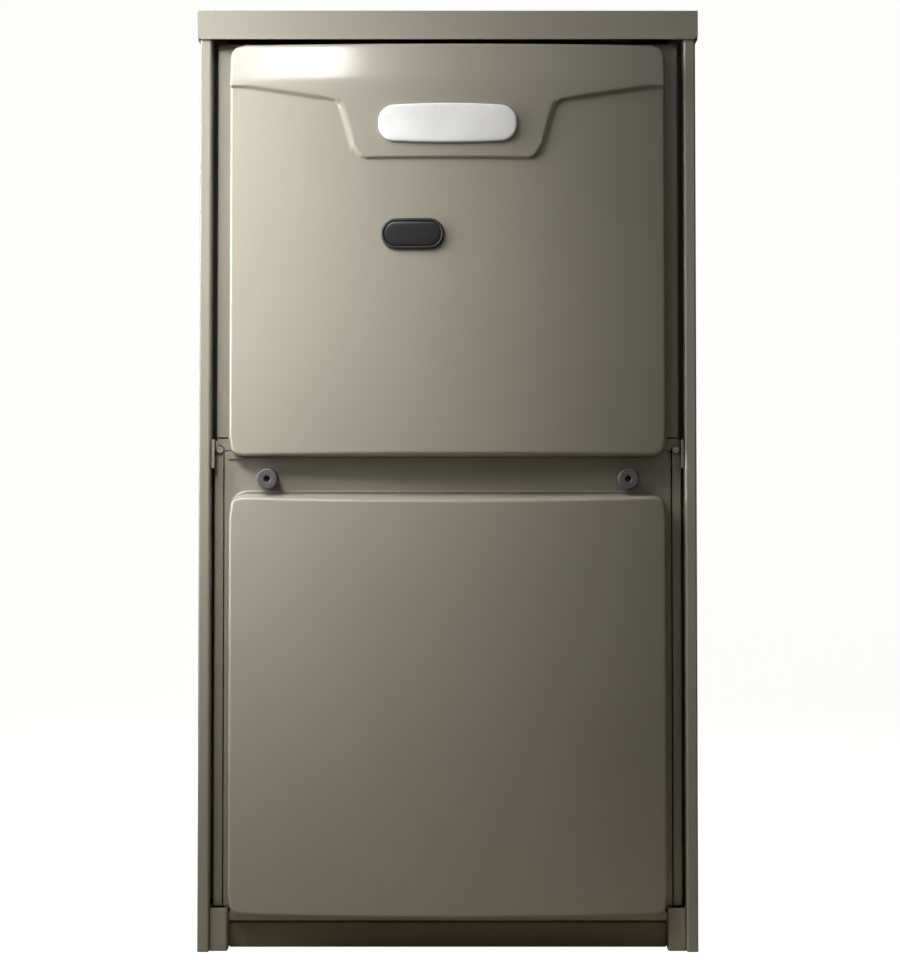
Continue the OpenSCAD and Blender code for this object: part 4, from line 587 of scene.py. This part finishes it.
def door(name, body, replaced, pressing, cut):
    """The pressing as a 1 mm sheet that rides on its body. cut(x, z) is true where the flange is cut away."""
    px, pz, h = pressing
    mid_x = (px[1:, 1:] + px[:-1, 1:] + px[1:, :-1] + px[:-1, :-1]) / 4
    mid_z = (pz[1:, 1:] + pz[:-1, 1:] + pz[1:, :-1] + pz[:-1, :-1]) / 4
    made = surface(name, np.stack([px, flange_y - h, pz], -1), keep=~cut(mid_x, mid_z))
    made.data.set_sharp_from_angle(angle=math.radians(38))
    # The cut edges, each used by one face only, are sharp too, or the sheet's rim would bend the shading beside them
    edge_of = np.empty(len(made.data.loops), dtype=np.int32)
    made.data.loops.foreach_get("edge_index", edge_of)
    crisp = np.empty(len(made.data.edges), dtype=bool)
    made.data.edges.foreach_get("use_edge_sharp", crisp)
    made.data.edges.foreach_set("use_edge_sharp", crisp | (np.bincount(edge_of, minlength=len(crisp)) < 2))
    sheeted(made, cabinet_paint)
    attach(made, body)
    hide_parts(replaced)


draft = np.radians([3, 3, 11])              # of the wall at the sides, the foot and the top
corner_x, corner_z = 0.1825, 0.4509         # centre of the arc round the upper raised panel's lower corner
rows_low, rows_high = 0.4410, 0.8010        # about where ring 15 lies at the foot and at the top
rows = spaced([(0.4543, 0.692, 0.0095), (0.692, 0.780, 0.0008), (0.780, 0.7985, 0.0015)])
pressing = pressed(
    half=0.2075, low=0.4384, high=0.8120, foot=0.4384, top=0.8088, fold=0.014, relief=brow, draft=draft,
    columns=both_ways(spaced([(0.0, 0.066, 0.006), (0.066, 0.100, 0.001), (0.100, 0.110, 0.002),
                              (0.110, 0.182, 0.006)])),
    rows=(rows - rows_low) / (rows_high - rows_low), hem=0)
door("upper_door_pressing", "upper_door", "upper_door_panel", pressing, lambda x, z: (z < 0.4543) & (
    (np.abs(x) > 0.1962) | (np.abs(x) > corner_x) & (np.hypot(np.abs(x) - corner_x, z - corner_z) > 0.0137)))


def tabs(name, body, root, rim, proud):
    """A flat 1 mm tab at each side, between two lines of (x, z) points, proud of the flange by the given height."""
    for side, flip in (("left", -1), ("right", 1)):
        tab = np.stack([root, rim] if flip > 0 else [rim, root])
        points = np.stack([flip * tab[..., 0], np.full(tab.shape[:2], flange_y - proud), tab[..., 1]], -1)
        made = surface("%s_%s" % (side, name), points[:, ::-1], smooth=False)
        sheeted(made, cabinet_paint)
        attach(made, body)


# An ear fills each lower corner of the upper door's flange, notched round the screw there
ear_in, ear_out, ear_low, ear_high = 0.1954, 0.2066, 0.4443, 0.4547
screw_x, screw_z, notch_radius = 0.2046, 0.4450, 0.0044
notch = np.radians(np.linspace(60, 190, 14))
rim = np.array([[ear_out, ear_high], [ear_out, 0.4516]] + list(zip(screw_x + notch_radius * np.cos(notch),
                                                                   screw_z + notch_radius * np.sin(notch))))
rim[:, 1] = np.maximum(rim[:, 1], ear_low)
root = np.stack([np.full(len(rim), ear_in), np.linspace(ear_high, ear_low, len(rim))], 1)
tabs("door_ear", "upper_door", root, rim, 0.0004)

pressing = pressed(
    half=0.2007, low=0.0245, high=0.4437, foot=0.0335, top=0.4050, fold=0.012, relief=lambda x, z: 0 * x * z,
    draft=draft, columns=both_ways(spaced([(0.0, 0.182, 0.007)])), rows=spaced([(0.0, 1.0, 0.04)])[1:-1],
    shelf=0.4379, step=1.0)
door("lower_door_pressing", "lower_door", "lower_door_panel", pressing,
     lambda x, z: (np.abs(x) > 0.1953) & (z < 0.0385) | (np.abs(x) < 0.1962) & (z > 0.4378))

# Its flange reaches round the lower corners of the upper raised panel
tab_radius, tab_low, tab_high, tab_out = 0.0129, 0.4366, 0.4437, 0.1970
arc = np.radians(np.linspace(271, 326, 14))
root = np.stack([corner_x + tab_radius * np.cos(arc), corner_z + tab_radius * np.sin(arc)], 1)
rim = np.concatenate([np.stack([np.linspace(corner_x, tab_out, 9), np.full(9, tab_low)], 1),
                      np.stack([np.full(5, tab_out), np.linspace(tab_low, tab_high, 6)[1:]], 1)])
tabs("door_corner", "lower_door", root, rim, 0.00012)


# ---- Badge plate -----------------------------------------------------------------------------------------------------
# A blank moulded plate with bowed long edges and rounded ends, crowned a little and stuck over the brow's middle.
def lozenge(half_w, half_h, end_h, corner):
    """Outline of a plate: long edges bowed from end_h at the ends to half_h in the middle, corners on arcs."""
    corner = min(corner, 0.98 * end_h)
    turn = np.linspace(0, np.pi / 2, 18)
    arc_x, arc_z = half_w - corner * (1 - np.cos(turn)), end_h - corner * (1 - np.sin(turn))
    run = np.linspace(half_w - corner, corner - half_w, 30)[1:-1]
    x = np.concatenate([arc_x, run, -arc_x[::-1]])
    z = np.concatenate([arc_z, np.full(len(run), end_h), arc_z[::-1]])
    x, z = np.concatenate([x, -x]), np.concatenate([z, -z])
    return x, z * (1 + (half_h / end_h - 1) * (1 - (x / half_w)**2))


def bowed_button(name, centre, outline, profile):
    """A flat button on the doors' bow, made of outline(inset) rings lifted by the profile's rise. An inset of 1 stands
    for one point at the centre, which closes it."""
    rings = []
    for inset, rise in profile:
        x, z = outline(inset) if inset < 1 else (0 * x, 0 * z)
        px, pz = centre[0] + x, centre[1] + z
        rings.append(np.stack([px, flange_y - bow(px) - rise, pz], -1))
    return surface(name, np.stack(rings)[:, ::-1], closed=True)


white_badge = coated("badge_white", moulded, {"Plastic": (0.90, 0.90, 0.89, 1), "Gloss": 0.22, "Depth": 0.02},
                     Coat_Weight=0.4)
badge = bowed_button("badge_blank", (0.0, 0.7316), lambda d: lozenge(0.061 - d, 0.01725 - d, 0.015 - d, 0.013 - d), [
    (0.0, 0.0030), (0.0, 0.0046), (0.0003, 0.0051), (0.0010, 0.0054), (0.0030, 0.0055), (0.0095, 0.0056),
    (1.0, 0.0056)])
badge.data.materials.append(white_badge)
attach(badge, "upper_door")
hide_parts("badge_plate")


# ---- Sight window ----------------------------------------------------------------------------------------------------
# A dark moulded bezel round a smoke-tinted lens, through which the burner's flame and the board's lamp are seen on the
# real door. Here the lens is opaque: its near-black is partly the tint and partly painted shade for the dark inside.
def racetrack(half_w, half_h):
    """Outline of an oval: two half circles joined by straight edges."""
    t = np.linspace(0, 2 * np.pi, 120, endpoint=False)
    return half_h * np.cos(t) + (half_w - half_h) * np.tanh(9 * np.cos(t)), half_h * np.sin(t)


window_centre = (-0.031, 0.634)
window_black = coated("window_black", moulded, {"Plastic": (0.026, 0.026, 0.026, 1), "Gloss": 0.45, "Depth": 0.03})
bezel = bowed_button("sight_window_bezel", window_centre, lambda d: racetrack(0.028 - d, 0.01375 - d), [
    (0.0, 0.0001), (0.0, 0.0019), (0.0005, 0.0027), (0.0012, 0.0030), (0.0019, 0.0030), (0.0023, 0.0029),
    (0.0025, 0.0026), (0.0025, 0.0006)])
bezel.data.materials.append(window_black)
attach(bezel, "upper_door")
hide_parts("window_bezel")
# Opaque near-black lens: partly its smoke tint, partly painted shade standing in for the dark burner box behind it
smoke_and_painted_shade = coated("lens_tint_and_painted_shade", moulded, {"Plastic": (0.019, 0.019, 0.019, 1), "Gloss": 0.36, "Grain": 3000.0,
                                         "Depth": 0.01})
lens = bowed_button("sight_window_lens", window_centre, lambda d: racetrack(0.0253 - d, 0.01105 - d), [
    (0.0, 0.0003), (0.0, 0.0022), (0.0006, 0.0025), (0.003, 0.0027), (0.008, 0.0027), (1.0, 0.0027)])
lens.data.materials.append(smoke_and_painted_shade)
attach(lens, "upper_door")
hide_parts("window_lens")


# ---- Knobs -----------------------------------------------------------------------------------------------------------
# Round quarter-turn knobs of dark grey plastic with a shallow recess in the face and shallow flutes round the rim.
def turned_y(name, centre, profile, count, flutes, depth, fluted):
    """A turned piece about an axis along Y: profile gives (radius, y), and flutes of the given depth, each a squared
    cosine, cut the rim between the two y's of fluted."""
    a = np.linspace(0, 2 * np.pi, count, endpoint=False)
    r = np.array([p[0] for p in profile])[:, None]
    y = np.array([p[1] for p in profile])[:, None]
    cut = depth * np.maximum(np.cos(a[None, :] * flutes), 0)**2 * ((y > fluted[0]) & (y < fluted[1]))
    r = np.broadcast_to(np.maximum(r - cut, 0), (len(profile), count))
    points = np.stack([centre[0] + r * np.cos(a), np.broadcast_to(centre[1] + y, r.shape),
                       centre[2] + r * np.sin(a)], -1)
    return surface(name, points[:, ::-1], closed=True)


knob_x, knob_z = 0.1604, 0.4184
knob_grey = coated("knob_grey", moulded, {"Plastic": (0.112, 0.102, 0.106, 1), "Gloss": 0.45, "Depth": 0.12})
for side, x in (("left", -knob_x), ("right", knob_x)):
    knob = turned_y(side + "_turn_knob", (x, flange_y, knob_z), [
        (0.0, -0.0118), (0.0014, -0.0118), (0.0015, -0.0102), (0.0024, -0.0101), (0.0026, -0.0106), (0.0027, -0.0148),
        (0.0033, -0.0153), (0.0038, -0.0153), (0.0078, -0.0153), (0.0082, -0.0153), (0.0088, -0.0150),
        (0.0093, -0.0142), (0.0093, -0.0100), (0.0093, -0.0030), (0.0091, -0.0008), (0.0086, -0.0003),
        (0.0041, -0.0003), (0.0040, 0.0000), (0.0040, 0.0110), (0.0035, 0.0127), (0.0, 0.0127)],
        count=96, flutes=12, depth=0.0006, fluted=(-0.0140, -0.001))
    knob.data.materials.append(knob_grey)
    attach(knob, side + "_knob")
    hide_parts(side + "_knob")
